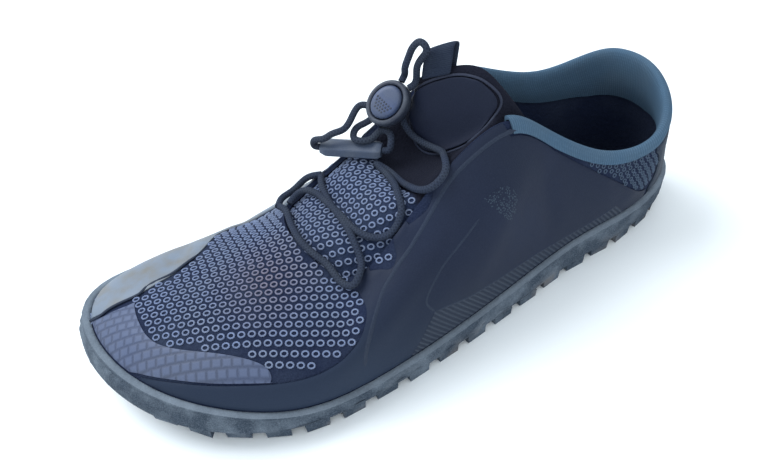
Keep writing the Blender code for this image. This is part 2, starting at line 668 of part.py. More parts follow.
def tree_of(name):
    """A search tree over a finished body, in the tables' frame."""
    graph = bpy.context.evaluated_depsgraph_get()
    seen = bpy.data.objects[name].evaluated_get(graph)
    mesh = seen.to_mesh()
    points = [tuple(np.array(v.co) + CENTRE) for v in mesh.vertices]
    faces = [tuple(p.vertices) for p in mesh.polygons]
    seen.to_mesh_clear()
    return BVHTree.FromPolygons(points, faces)


def lack(place, trees, clear):
    """How much a place is short of its clearance to the bodies."""
    short = 0.0
    for tree in trees:
        hit, normal, _, distance = tree.find_nearest(Vector(place))
        if distance < UPPER_WALL:
            inside = (Vector(place) - hit).dot(normal) < 0
            short = max(short, clear + distance if inside else clear - distance)
    return short


def cleared(grid, trees, clear, way, rounds=8):
    """Moves a grid of points along a way until it, and the middles between its points, clear the bodies."""
    grid = np.array(grid, float)
    rows, columns = grid.shape[:2]
    for _ in range(rounds):
        short = np.zeros((2 * rows + 1, 2 * columns + 1))
        for i in range(2 * rows - 1):
            for j in range(2 * columns - 1):
                a, b, c, d = i // 2, j // 2, (i + 1) // 2, (j + 1) // 2
                middle = (grid[a, b] + grid[c, d] + grid[a, d] + grid[c, b]) / 4
                short[i + 1, j + 1] = lack(middle, trees, clear)
        if short.max() < 1e-5:
            break
        worst = np.max([short[k : k + 2 * rows - 1, m : m + 2 * columns - 1] for k in range(3) for m in range(3)], 0)
        grid = grid + way * np.minimum(worst[::2, ::2] * 1.05, 0.002)[..., None]
    return grid


def grid_normals(grid):
    """Directions out of the tongue's grid, forward and up at its middle."""
    normals = unit(np.cross(np.gradient(grid, axis=0), np.gradient(grid, axis=1)))
    middle = normals[grid.shape[0] // 2, grid.shape[1] // 2]
    return normals if middle @ [1, 0, 1] > 0 else -normals


def make_tongue():
    global TONGUE_FACE
    grid = tongue_grid()
    out = grid_normals(grid)
    trees = [tree_of(name) for name in ("upper", "collar", "side_panel_outer", "side_panel_inner")]
    fixed = cleared(grid, trees, GAP * 1.5, -out)
    TONGUE_FACE = fixed
    normals = grid_normals(fixed)
    shell("tongue", fixed, fixed - normals * TONGUE, MESH, 0.9)
    ring = spline([(k, *c) for k, c in enumerate(TONGUE_BORDER)], 8.0)(np.linspace(0, 8, 41)[:-1])
    cells = np.array(TONGUE_STEPS, float) - 1
    low = GAP * 1.6
    patch("tongue_panel", ring, low, low + PANEL, BLACK, 0.5, tongue_face, 1 / cells, cells)


def tongue_face(along, across, lift=0.0):
    """Points lifted off the tongue's outer face, read from its grid."""
    rows, columns = TONGUE_FACE.shape[:2]
    normals = grid_normals(TONGUE_FACE)
    i = np.clip(np.asarray(along, float), 0, 0.9999) * (rows - 1)
    j = np.clip(np.asarray(across, float), 0, 0.9999) * (columns - 1)
    a, b = i.astype(int), j.astype(int)
    s, t = (i - a)[..., None], (j - b)[..., None]

    def read(grid):
        low = grid[a, b] * (1 - t) + grid[a, b + 1] * t
        high = grid[a + 1, b] * (1 - t) + grid[a + 1, b + 1] * t
        return low * (1 - s) + high * s

    return read(TONGUE_FACE) + unit(read(normals)) * np.asarray(lift, float)[..., None]


def make_collar():
    """Padded collar edge: it hooks over the upper's edge, with a band outside and a pad inside."""
    angle = np.concatenate([[-88], np.arange(-85, 86, TURN_STEP), [88]])[:, None]
    turn = np.abs(angle[:, 0])
    depth = np.interp(turn, (0, 35, 60, 88), (0.026, 0.022, 0.014, 0.008))
    low = under_band(angle[:, 0]) + GAP / 0.06
    deep = further(angle[:, 0], further(angle[:, 0], 0.99, -depth / 2), -depth / 2)
    upward = unit(bare(angle, 1.0) - bare(angle, 0.99))[:, 0]
    inside = -UPPER_WALL - GAP * 1.4
    taper = np.interp(turn, (0, 70, 88), (1, 1, 0.55))

    def line(lift_low, lift_top, over, lift_in, lift_mid, lift_end):
        parts = []
        for v, lift in ((low, lift_low), ((low + 1) / 2, lift_top), (np.ones_like(low), lift_top)):
            parts.append(upper_face(angle[:, 0], v, lift))
        parts.append(upper_face(angle[:, 0], 1.0, -UPPER_WALL / 2) + upward * over)
        inner = ((np.ones_like(low), lift_in), ((deep + 2) / 3, lift_mid), ((2 * deep + 1) / 3, lift_mid))
        for v, lift in (*inner, (deep, lift_end)):
            parts.append(upper_face(angle[:, 0], v, lift))
        return np.stack(parts, 1)

    hidden = line(GAP, GAP, GAP * 1.5, inside, inside, inside)
    pad = COLLAR_PAD * taper
    shown = line(GAP + BAND * 0.7, GAP + BAND, GAP + BAND * 1.7, inside - pad * 0.8, inside - pad, inside - 0.0009)
    shell("collar", shown, hidden, PALE, 0.85)


def rim_line(first, last, count):
    angle = np.linspace(first, last, count)
    return np.column_stack([angle, further(angle, rim(angle) * 1.02, 0.0011)])


def band_line(first, last, count):
    angle = np.linspace(first, last, count)
    return np.column_stack([angle, under_band(angle) - GAP / 0.08])


def make_panels():
    """The smooth sheets that show from a step away, all drawn on the upper's own face."""
    low = GAP * 1.4
    high = low + PANEL
    outer = [rim_line(157.0, 38.5, 60), smooth_border(OUTER_REAR[::-1], 26), band_line(75.5, 89, 7)]
    outer += [np.array([(90.2, 0.985)]), np.column_stack([np.linspace(92, 107, 8), np.full(8, 0.985)])]
    outer += [smooth_border(OUTER_EYES[7:][::-1], 18), smooth_border(OUTER_EYES[:7][::-1], 18)]
    outer += [smooth_border(OUTER_TOE[::-1], 50)]
    patch("side_panel_outer", np.concatenate(outer), low, high, BLACK, 0.45)
    inner = [smooth_border(INNER_TOE, 50), smooth_border(INNER_EYES[:6], 16), smooth_border(INNER_EYES[6:], 16)]
    inner += [np.column_stack([np.linspace(253, 268, 8), np.full(8, 0.985)]), np.array([(269.8, 0.985)])]
    inner += [band_line(271, 284.5, 7), smooth_border(INNER_REAR, 26), rim_line(321.5, 182, 66)]
    patch("side_panel_inner", np.concatenate(inner), low, high, BLACK, 0.45)
    film = [smooth_border(FILM_MESH[::-1], 34)]
    film += [smooth_border([(180.0, 0.44), (179.6, 0.36), (179.4, 0.30), (180, 0.235)], 8), rim_line(179, 160.4, 10)]
    film += [smooth_border([(a + 1.0, v + 0.014) for a, v in OUTER_TOE[:6]], 20)]
    patch("toe_film", np.concatenate(film), low, low + FILM, (0.17, 0.22, 0.36), 0.4)
    counter = [rim_line(-35, 35, 26), smooth_border(COUNTER_SIDE, 12), band_line(43.5, -43.5, 26)]
    counter += [smooth_border([(-a, v) for a, v in COUNTER_SIDE[::-1]], 12)]
    patch("heel_counter", np.concatenate(counter), low, high, (0.05, 0.07, 0.10), 0.6)


def axes(facing, along):
    """Three square directions: the facing, the part of along that is square to it, and across both."""
    out = unit(np.array(facing, float))
    along = np.array(along, float)
    along = unit(along - out * (along @ out))
    return out, along, np.cross(out, along)


LOCK_OUT, LOCK_UP, LOCK_ACROSS = axes(LOCK_FACING, LOCK_RISE)
LOCK_CENTRE = placed(LOCK_PLACE)


def lock_point(turn, away, height):
    """A place off the cord lock's side: a turn from its rising end, a distance out and a height."""
    turn = np.radians(turn)
    side = np.array([LOCK_LONG * np.cos(turn), LOCK_SHORT * np.sin(turn)]) / 2
    out = unit(np.array([np.cos(turn) / LOCK_LONG, np.sin(turn) / LOCK_SHORT]))
    long, short = side + out * away
    return LOCK_CENTRE + LOCK_UP * long + LOCK_ACROSS * short + LOCK_OUT * height


def oval(name, rings, roughness):
    """A closed oval body from rings, each a height off the lock's middle and two half sizes."""
    turn = np.radians(np.arange(0, 360, 15))[:, None]
    lines = []
    for height, long, short in rings:
        line = LOCK_UP * long * np.cos(turn) + LOCK_ACROSS * short * np.sin(turn) + LOCK_OUT * height
        lines.append(LOCK_CENTRE + line)
    count = len(turn)
    last = count * (len(lines) - 1)
    faces = stack(lines) + [tuple(reversed(range(count))), tuple(range(last, last + count))]
    return solid(name, np.concatenate(lines), faces, PLASTIC, roughness, origin=LOCK_CENTRE)


def make_lock():
    """Oval cord lock: a body with a recess, and a domed button that presses into it."""
    long, short = LOCK_LONG / 2, LOCK_SHORT / 2

    def ring(height, inset):
        return height, long - inset, short - inset

    outside = [ring(-LOCK_BASE, 0.0024), ring(-LOCK_BASE + 0.0008, 0.0009), ring(-0.0016, 0), ring(0.0018, 0)]
    outside += [ring(LOCK_RIM - 0.0005, 0.0005), ring(LOCK_RIM, 0.0011), ring(LOCK_RIM, LOCK_EDGE - 0.0004)]
    floor = -LOCK_BASE + LOCK_WALL
    oval("cord_lock_body", outside + [ring(LOCK_RIM - 0.0004, LOCK_EDGE), ring(floor, LOCK_EDGE)], 0.5)
    slim = LOCK_EDGE + GAP * 1.2
    foot = floor + BUTTON_TRAVEL + GAP * 1.2
    dome = [ring(foot, slim), ring(BUTTON_TOP - 0.0015, slim), ring(BUTTON_TOP - 0.0005, slim + 0.0008)]
    oval("cord_lock_button", dome + [ring(BUTTON_TOP - 0.0001, slim + 0.0026), ring(BUTTON_TOP, slim + 0.0045)], 0.45)


def make_grip():
    """Flat six-sided bar that lies over the lace's crossing, with tapered ends."""
    out, along, across = axes(GRIP_FACING, GRIP_ALONG)
    centre = placed(GRIP_PLACE)
    wide, thick = GRIP_WIDTH / 2, GRIP_THICK / 2
    flat = wide * 0.56
    section = ((wide, 0), (flat, thick), (-flat, thick), (-wide, 0), (-flat, -thick), (flat, -thick))
    lines = []
    for place, share in ((-0.5, 0.7), (-0.39, 1.0), (0.42, 1.0), (0.5, 0.8)):
        middle_line = centre + along * GRIP_LENGTH * place
        lines.append(np.array([middle_line + (across * w + out * t) * share for w, t in section]))
    faces = stack(lines) + [tuple(reversed(range(6))), tuple(range(18, 24))]
    solid("lace_grip", np.concatenate(lines), faces, PLASTIC, 0.55)


def grip_point(side, away):
    """A place past one end of the bar: side is -1 at the inner end and 1 at the outer one."""
    _, along, _ = axes(GRIP_FACING, GRIP_ALONG)
    return placed(GRIP_PLACE) + along * side * (GRIP_LENGTH / 2 + away)


def make_lace():
    """The stretches over the throat joined into one solid, and the free stretches, each by itself."""
    trees = [
        tree_of(name)
        for name in ("tongue", "tongue_panel", "upper", "collar", "side_panel_outer", "side_panel_inner")
    ]

    def rested(route):
        """The fine line lifted until it clears what it lies on."""
        line = smooth_line(route, LACE * 1.3)
        for _ in range(12):
            short = np.array([lack(place, trees, LACE / 2 + GAP) for place in line])
            if short.max() < 1e-5:
                break
            line = line + short[:, None] * 1.05 * unit(np.array([0.35, 0.0, 0.94]))
        return line

    below = [LOCK_CENTRE - LOCK_ACROSS * 0.0025 - LOCK_OUT * (LOCK_BASE + away) for away in (LACE, GAP * 2.4)]
    routes = [placed(rows) for rows in (LACE_LOWER, LACE_SIDE, LACE_MIDDLE)]
    routes.append(np.concatenate([placed(LACE_UPPER), below]))
    names = ("lace_zigzag", "side_stretch", "middle_stretch", "upper_stretch")
    pieces = [as_mesh(tube(name, rested(route)), name != names[0]) for name, route in zip(names, routes)]
    for piece in pieces[1:]:
        combine(pieces[0], piece, "UNION")

    fine = LACE * 0.9
    low = 0.0004
    ends = [lock_point(14, GAP, low), lock_point(14, LACE, low), lock_point(-14, LACE, low), lock_point(-14, GAP, low)]
    tube("lace_hairpin", smooth_line([*ends[:2], *placed(HAIRPIN), *ends[2:]], fine))
    first = [lock_point(130, GAP, -low), lock_point(130, LACE, -low)]
    last = [grip_point(-1, LACE * 0.9) + UP * low, grip_point(-1, GAP)]
    tube("lace_tail_inner", smooth_line([*first, *placed(TAIL_INNER), *last], fine))
    first = [lock_point(165, GAP, -0.002), lock_point(165, LACE, -0.002)]
    last = [grip_point(1, LACE) + UP * low, grip_point(1, GAP)]
    tube("lace_tail_outer", smooth_line([*first, *placed(TAIL_OUTER), *last], fine))


def make_pull_loop():
    """Webbing that stands up from the tongue's top edge and goes down again behind it."""
    across = LOOP_ACROSS + np.linspace(-0.5, 0.5, 5) * LOOP_WIDTH / (BALL_WIDTH * 0.80)
    away = GAP * 1.6 + WEBBING / 2
    top = tongue_face(np.full(5, 0.9999), across)
    lower = tongue_face(np.full(5, 0.97), across)
    upward = unit(np.mean(top - lower, axis=0))
    forward = tongue_face(np.full(5, 0.985), across, 1.0) - tongue_face(np.full(5, 0.985), across)
    forward = unit(np.mean(forward, axis=0))
    middle_line = top - forward * TONGUE / 2
    half = TONGUE / 2 + away
    rows = []
    for along, lift in ((0.975, away), (0.988, away)):
        rows.append(tongue_face(np.full(5, along), across, lift))
    for turn in (0, 30, 60, 90, 120, 150, 180):
        turn = np.radians(turn)
        rise = upward * (LOOP_HEIGHT - half) + upward * half * np.sin(turn)
        rows.append(middle_line + forward * half * np.cos(turn) + rise)
    for along, lift in ((0.985, -TONGUE - away), (0.955, -TONGUE - away)):
        rows.append(tongue_face(np.full(5, along), across, lift))
    band = np.array(rows)
    normals = unit(np.cross(np.gradient(band, axis=0), np.gradient(band, axis=1)))
    shell("tongue_pull_loop", band + normals * WEBBING / 2, band - normals * WEBBING / 2, BLACK, 0.9)


start()
make_outsole()
make_upper()
make_insole()
make_collar()
make_panels()
make_tongue()
make_lock()
make_grip()
make_lace()
make_pull_loop()
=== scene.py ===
import json
import math
import random

import bmesh
import bpy
import numpy as np
from mathutils import Matrix, Vector
from mathutils.bvhtree import BVHTree
from mathutils.geometry import convex_hull_2d, delaunay_2d_cdt

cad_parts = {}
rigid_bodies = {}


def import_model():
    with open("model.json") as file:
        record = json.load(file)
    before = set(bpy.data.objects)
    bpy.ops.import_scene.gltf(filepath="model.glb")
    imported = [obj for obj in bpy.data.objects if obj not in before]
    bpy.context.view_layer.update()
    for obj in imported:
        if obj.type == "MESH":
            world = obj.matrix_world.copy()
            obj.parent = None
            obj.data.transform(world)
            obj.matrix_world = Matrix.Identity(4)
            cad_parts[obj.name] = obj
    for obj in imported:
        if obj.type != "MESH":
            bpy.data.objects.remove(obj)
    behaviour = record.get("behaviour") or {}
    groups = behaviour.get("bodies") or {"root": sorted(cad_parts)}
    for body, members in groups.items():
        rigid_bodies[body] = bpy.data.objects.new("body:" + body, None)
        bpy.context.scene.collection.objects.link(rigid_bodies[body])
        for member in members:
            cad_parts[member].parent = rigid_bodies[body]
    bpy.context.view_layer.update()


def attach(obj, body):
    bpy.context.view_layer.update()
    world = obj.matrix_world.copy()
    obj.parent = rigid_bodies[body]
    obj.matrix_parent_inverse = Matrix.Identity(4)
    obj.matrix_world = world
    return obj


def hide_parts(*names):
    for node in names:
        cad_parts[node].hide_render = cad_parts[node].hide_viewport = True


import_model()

# The camera stands high at the shoe's outer front side, close to it, as a hand-held one would.
CAMERA_AZIMUTH = math.radians(66.49)
CAMERA_RISE = math.radians(43.73)
CAMERA_ROLL = math.radians(-4.24)
CAMERA_DISTANCE = 0.32277
CAMERA_TARGET = Vector((0.0, -0.00733, 0.03))
LENS = 34.6
SHIFT = (-0.0318, -0.002)

back = Vector((
    math.cos(CAMERA_AZIMUTH) * math.cos(CAMERA_RISE),
    math.sin(CAMERA_AZIMUTH) * math.cos(CAMERA_RISE),
    math.sin(CAMERA_RISE),
))
flat_right = (-back).cross(Vector((0, 0, 1))).normalized()
flat_up = flat_right.cross(-back)
right = flat_right * math.cos(CAMERA_ROLL) + flat_up * math.sin(CAMERA_ROLL)
up = flat_up * math.cos(CAMERA_ROLL) - flat_right * math.sin(CAMERA_ROLL)
eye = bpy.data.cameras.new("Eye")
eye.lens = LENS
eye.sensor_width = 36
eye.shift_x, eye.shift_y = SHIFT
eye.clip_start = 0.01
camera = bpy.data.objects.new("Eye", eye)
camera.matrix_world = Matrix.Translation(CAMERA_TARGET + back * CAMERA_DISTANCE) @ Matrix(
    (right, up, back)
).transposed().to_4x4()
bpy.context.scene.collection.objects.link(camera)
bpy.context.scene.camera = camera
bpy.context.scene.view_settings.view_transform = "Standard"

# The lace is one round elastic cord, braided over a rubber core. It zigzags over the tongue, goes
# through the cord lock, and its loop stands free above it. The ends are held in the small bar.
LENGTH = 0.282
BALL_WIDTH = 0.1015
INSTEP_HEIGHT = 0.0868
SIZES = np.array([LENGTH, BALL_WIDTH, INSTEP_HEIGHT])
CENTRE = np.array([LENGTH / 2, 0.00733, 0.0])
GAP = 0.0003
LACE = 0.0029
LOCK_LONG = 0.020
LOCK_SHORT = 0.017
LOCK_BASE = 0.0046
LOCK_RIM = 0.0033
LOCK_WALL = 0.0016
LOCK_EDGE = 0.0023
BUTTON_TOP = 0.0048
BUTTON_TRAVEL = 0.0025
GRIP_LENGTH = 0.027
GRIP_WIDTH = 0.0086
GRIP_THICK = 0.005
LACE_LOWER = (
    (0.6706, -0.1871, 0.5746), (0.6664, -0.1406, 0.5881), (0.6676, -0.0908, 0.5837),
    (0.6698, -0.0411, 0.5860), (0.6706, 0.0089, 0.5885), (0.6697, 0.0589, 0.5865),
    (0.6654, 0.1067, 0.5763), (0.6585, 0.1510, 0.5612), (0.6511, 0.1952, 0.5480),
    (0.6480, 0.2432, 0.5356), (0.6442, 0.2904, 0.5212), (0.6343, 0.3292, 0.5270),
    (0.6203, 0.3130, 0.5552), (0.6104, 0.2725, 0.5639), (0.6076, 0.2305, 0.5916),
    (0.6072, 0.1886, 0.6234), (0.6063, 0.1402, 0.6383), (0.6068, 0.0907, 0.6475),
    (0.6083, 0.0410, 0.6534), (0.6093, -0.0090, 0.6557), (0.6089, -0.0591, 0.6563),
    (0.6074, -0.1090, 0.6596), (0.6038, -0.1580, 0.6621), (0.5970, -0.2039, 0.6556),
)
LACE_SIDE = (
    (0.6718, -0.1974, 0.5658), (0.6605, -0.2378, 0.5687), (0.6426, -0.2511, 0.5763),
    (0.6261, -0.2513, 0.6080), (0.6124, -0.2335, 0.6448), (0.5968, -0.2069, 0.6599),
)
LACE_MIDDLE = (
    (0.6563, -0.1736, 0.5855), (0.6404, -0.1873, 0.6111), (0.6276, -0.1592, 0.6423),
    (0.6183, -0.1134, 0.6495), (0.6142, -0.0615, 0.6548), (0.6109, -0.0089, 0.6561),
    (0.6067, 0.0432, 0.6538), (0.6032, 0.0956, 0.6481), (0.5994, 0.1475, 0.6402),
    (0.5909, 0.1950, 0.6365), (0.5775, 0.2333, 0.6363), (0.5613, 0.2525, 0.6561),
    (0.5467, 0.2452, 0.6959), (0.5368, 0.2228, 0.7415), (0.5322, 0.1771, 0.7669),
    (0.5270, 0.1260, 0.7609), (0.5228, 0.0749, 0.7485), (0.5214, 0.0222, 0.7395),
    (0.5218, -0.0309, 0.7327), (0.5246, -0.0836, 0.7347),
)
LACE_UPPER = (
    (0.5246, -0.0836, 0.7353), (0.5184, -0.0493, 0.7293), (0.5131, 0.0177, 0.7327),
    (0.5121, 0.0857, 0.7454), (0.5111, 0.1482, 0.7718), (0.5064, 0.2128, 0.8018),
    (0.4952, 0.2595, 0.8440), (0.4740, 0.2507, 0.8898), (0.4621, 0.1931, 0.8963),
    (0.4525, 0.1300, 0.8652), (0.4454, 0.0739, 0.8295), (0.4479, 0.0108, 0.8076),
    (0.4576, -0.0520, 0.8113), (0.4638, -0.1034, 0.8295), (0.4660, -0.1438, 0.8664),
)
HAIRPIN = (
    (0.4549, -0.1642, 1.1348), (0.4495, -0.1529, 1.1982), (0.4447, -0.1321, 1.2558),
    (0.4377, -0.1143, 1.2788), (0.4333, -0.0939, 1.2615), (0.4355, -0.1105, 1.2039),
    (0.4417, -0.1323, 1.1406),
)
TAIL_INNER = (
    (0.5520, -0.2027, 0.8813), (0.5690, -0.2223, 0.8583), (0.5819, -0.2395, 0.8318),
    (0.5925, -0.2800, 0.7990),
)
TAIL_OUTER = (
    (0.5357, -0.1994, 0.8583), (0.5418, -0.1756, 0.8364), (0.5340, -0.1454, 0.8318),
    (0.5177, -0.1360, 0.8364), (0.5024, -0.1475, 0.8502), (0.4940, -0.1305, 0.8468),
    (0.4981, -0.0822, 0.8187),
)
LOCK_PLACE = (0.4830, -0.1695, 0.9677)
LOCK_FACING = (0.55, 0.45, 0.70)
LOCK_RISE = (-0.44, 0.20, 0.87)
GRIP_PLACE = (0.5475, -0.1833, 0.7742)
GRIP_ALONG = (-0.769, 0.636, 0.061)
GRIP_FACING = (0.30, 0.30, 0.90)
BRAID_PITCH = 0.0026
BRAID_STRANDS = 4


def unit(vectors):
    return vectors / np.linalg.norm(vectors, axis=-1, keepdims=True)


def spline(rows, period=0.0):
    """A smooth curve through the rows, whose first number is the place along it. Gives a function."""
    rows = np.array(rows, float)
    at, value = rows[:, 0], rows[:, 1:]
    count = len(at)
    step = np.diff(np.append(at, at[0] + period)) if period else np.diff(at)
    matrix = np.zeros((count, count))
    side = np.zeros_like(value)
    for i in range(count):
        if not period and i in (0, count - 1):
            matrix[i, i] = 1
            continue
        before, after = (i - 1) % count, (i + 1) % count
        matrix[i, before] += step[before]
        matrix[i, i] += 2 * (step[before] + step[i])
        matrix[i, after] += step[i]
        side[i] = 6 * (value[after] - value[i]) / step[i] - 6 * (value[i] - value[before]) / step[before]
    bend = np.linalg.solve(matrix, side)

    def curve(q):
        q = np.asarray(q, float)
        q = at[0] + (q - at[0]) % period if period else q
        i = np.clip(np.searchsorted(at, q, side="right") - 1, 0, len(step) - 1)
        j = (i + 1) % count
        t = (q - at[i])[..., None]
        h = step[i][..., None]
        cubic = (bend[i] * (h - t) ** 3 + bend[j] * t**3) / (6 * h)
        return cubic + (value[i] / h - bend[i] * h / 6) * (h - t) + (value[j] / h - bend[j] * h / 6) * t

    return curve


def placed(rows):
    return np.array(rows, float) * SIZES


def axes(facing, along):
    """Three square axes: outwards, along, and across both."""
    out = unit(np.array(facing, float))
    along = np.array(along, float)
    along = unit(along - out * (along @ out))
    return out, along, np.cross(out, along)


def smooth_line(route, spacing):
    """Points at even steps on a smooth curve through the route."""
    route = np.array(route, float)
    along = np.append(0, np.cumsum(np.linalg.norm(np.diff(route, axis=0), axis=1)))
    count = int(round(along[-1] / spacing)) + 1
    return spline(np.column_stack([along, route]))(np.linspace(0, along[-1], count))


LOCK_OUT, LOCK_UP, LOCK_ACROSS = axes(LOCK_FACING, LOCK_RISE)
LOCK_CENTRE = placed(LOCK_PLACE)
GRIP_OUT, GRIP_RUN, GRIP_ACROSS = axes(GRIP_FACING, GRIP_ALONG)
GRIP_CENTRE = placed(GRIP_PLACE)


def lock_point(turn, away, height):
    """A place by the lock: degrees round it, metres out from its side and above its middle."""
    turn = math.radians(turn)
    side = np.array([LOCK_LONG * math.cos(turn), LOCK_SHORT * math.sin(turn)]) / 2
    out = unit(np.array([math.cos(turn) / LOCK_LONG, math.sin(turn) / LOCK_SHORT]))
    long, short = side + out * away
    return LOCK_CENTRE + LOCK_UP * long + LOCK_ACROSS * short + LOCK_OUT * height


def grip_point(side, away):
    """A place off the bar's end on one side, 1 or -1."""
    return GRIP_CENTRE + GRIP_RUN * side * (GRIP_LENGTH / 2 + away)


def node(tree, kind, inputs=(), **settings):
    """One node of a tree, with its settings and what its sockets hold or are linked to."""
    made = tree.nodes.new(kind)
    for name, value in settings.items():
        setattr(made, name, value)
    for socket, value in dict(inputs).items():
        if isinstance(value, bpy.types.NodeSocket):
            tree.links.new(value, made.inputs[socket])
        else:
            made.inputs[socket].default_value = value
    return made


def maths(tree, operation, a, b=0.0, clamp=False):
    return node(tree, "ShaderNodeMath", {0: a, 1: b}, operation=operation, use_clamp=clamp).outputs[0]


def blend(tree, share, one, two):
    mixed = node(tree, "ShaderNodeMix", {"Factor": share}, data_type="RGBA")
    for socket, value in ((mixed.inputs[6], one), (mixed.inputs[7], two)):
        if isinstance(value, bpy.types.NodeSocket):
            tree.links.new(value, socket)
        else:
            socket.default_value = (*value, 1)
    return mixed.outputs[2]


def span(tree, value, low, high, to_low=0.0, to_high=1.0):
    made = node(tree, "ShaderNodeMapRange", {0: value, 1: low, 2: high, 3: to_low, 4: to_high})
    return made.outputs[0]


def on_piece(tree):
    """Where a point lies on its piece, in metres."""
    return node(tree, "ShaderNodeTexCoord").outputs["Object"]


def parts(tree, vector):
    return node(tree, "ShaderNodeSeparateXYZ", {0: vector}).outputs


def make_wear_group():
    """Uneven colour with dust in its hollows, for every surface of the shoe."""
    tree = bpy.data.node_groups.new("Uneven_and_dusty", "ShaderNodeTree")
    for name, kind, way in (
        ("Colour", "Color", "INPUT"),
        ("Dust colour", "Color", "INPUT"),
        ("Dust", "Float", "INPUT"),
        ("Patch scale", "Float", "INPUT"),
        ("Colour", "Color", "OUTPUT"),
        ("Mask", "Float", "OUTPUT"),
    ):
        tree.interface.new_socket(name, in_out=way, socket_type="NodeSocket" + kind)
    source = tree.nodes.new("NodeGroupInput").outputs
    sink = tree.nodes.new("NodeGroupOutput").inputs
    place = on_piece(tree)
    wide = node(tree, "ShaderNodeTexNoise", {"Vector": place, "Scale": source["Patch scale"], "Detail": 5.0})
    fine = node(tree, "ShaderNodeTexNoise", {"Vector": place, "Scale": 1900.0, "Detail": 2.0})
    speckle = maths(tree, "MULTIPLY", span(tree, fine.outputs[0], 0.40, 0.75), 0.6)
    spread = maths(tree, "ADD", span(tree, wide.outputs[0], 0.42, 0.72), speckle)
    mask = maths(tree, "MULTIPLY", spread, source["Dust"], True)
    darker = span(tree, wide.outputs[0], 0.3, 0.7, 0.0, 0.35)
    shade = blend(tree, darker, source["Colour"], (0.0, 0.0, 0.0))
    tree.links.new(blend(tree, mask, shade, source["Dust colour"]), sink["Colour"])
    tree.links.new(mask, sink["Mask"])
    return tree


WEAR = make_wear_group()


def finish(name, colour, dust_colour, dust, roughness, patch_scale=28.0, coat=0.0, shine=0.12):
    """A worn finish. Gives the material, its tree and the colour that feeds its shader."""
    material = bpy.data.materials.new(name)
    material.use_nodes = True
    material.diffuse_color = (*colour, 1)
    tree = material.node_tree
    shader = tree.nodes["Principled BSDF"]
    worn = node(tree, "ShaderNodeGroup", node_tree=WEAR)
    worn.inputs["Colour"].default_value = (*colour, 1)
    worn.inputs["Dust colour"].default_value = (*dust_colour, 1)
    worn.inputs["Dust"].default_value = dust
    worn.inputs["Patch scale"].default_value = patch_scale
    tree.links.new(worn.outputs["Colour"], shader.inputs["Base Color"])
    dusty = min(1.0, roughness + 0.25)
    tree.links.new(span(tree, worn.outputs["Mask"], 0.0, 1.0, roughness, dusty), shader.inputs["Roughness"])
    shader.inputs["Specular IOR Level"].default_value = shine
    shader.inputs["Coat Weight"].default_value = coat
    shader.inputs["Coat Roughness"].default_value = 0.35
    return material, tree, worn.outputs["Colour"]


def colour_of(tree):
    """What feeds the colour of a finish now."""
    return tree.nodes["Principled BSDF"].inputs["Base Color"].links[0].from_socket


def paint(tree, colour):
    tree.links.new(colour, tree.nodes["Principled BSDF"].inputs["Base Color"])


def raise_surface(tree, height, distance, strength=1.0):
    bump = node(tree, "ShaderNodeBump", {"Height": height, "Distance": distance, "Strength": strength})
    tree.links.new(bump.outputs[0], tree.nodes["Principled BSDF"].inputs["Normal"])


def piece(name, points, faces, material, body="shoe", uv=None, smooth=True):
    """A mesh that rides on the shoe. Points are in the tables' frame, which starts at the heel."""
    mesh = bpy.data.meshes.new(name)
    places = [tuple(p) for p in np.array(points, float) - CENTRE]
    mesh.from_pydata(places, [], [tuple(map(int, f)) for f in faces])
    mesh.materials.append(material)
    if uv is not None:
        layer = mesh.uv_layers.new(name="UVMap")
        corners = np.array([loop.vertex_index for loop in mesh.loops])
        layer.data.foreach_set("uv", np.array(uv, np.float32)[corners].ravel())
    shape = bmesh.new()
    shape.from_mesh(mesh)
    bmesh.ops.remove_doubles(shape, verts=shape.verts, dist=1e-6)
    bmesh.ops.recalc_face_normals(shape, faces=shape.faces)
    shape.to_mesh(mesh)
    shape.free()
    if smooth:
        mesh.shade_smooth()
        mesh.set_sharp_from_angle(angle=math.radians(48))
    made = bpy.data.objects.new(name, mesh)
    bpy.context.scene.collection.objects.link(made)
    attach(made, body)
    return made


def tube_mesh(line, radius, sides=14):
    """Points, faces and UVs of a round tube. U counts turns round it and V metres along it."""
    line = np.array(line, float)
    tangent = unit(np.gradient(line, axis=0))
    first = np.cross(tangent[0], [0.3, 0.2, 0.93])
    frame_x = [unit(first)]
    for t in tangent[1:]:
        frame_x.append(unit(frame_x[-1] - t * (frame_x[-1] @ t)))
    frame_x = np.array(frame_x)
    frame_y = np.cross(tangent, frame_x)
    radii = np.full(len(line), radius) if np.isscalar(radius) else np.array(radius)
    turn = np.linspace(0, 2 * np.pi, sides + 1)
    rings = line[:, None] + radii[:, None, None] * (
        frame_x[:, None] * np.cos(turn)[None, :, None] + frame_y[:, None] * np.sin(turn)[None, :, None]
    )
    along = np.append(0, np.cumsum(np.linalg.norm(np.diff(line, axis=0), axis=1)))
    uv = np.stack(np.broadcast_arrays(turn[None] / (2 * np.pi), along[:, None]), -1).reshape(-1, 2)
    points = rings.reshape(-1, 3)
    wide = sides + 1
    faces = []
    for i in range(len(line) - 1):
        for j in range(sides):
            a, b = i * wide + j, (i + 1) * wide + j
            faces.append((a, a + 1, b + 1, b))
    count = len(points)
    points = np.concatenate([points, line[:1], line[-1:]])
    uv = np.concatenate([uv, [[0.5, 0.0]], [[0.5, along[-1]]]])
    last = (len(line) - 1) * wide
    for j in range(sides):
        faces.append((count, j + 1, j))
        faces.append((count + 1, last + j, last + j + 1))
    return points, faces, uv, along[-1]


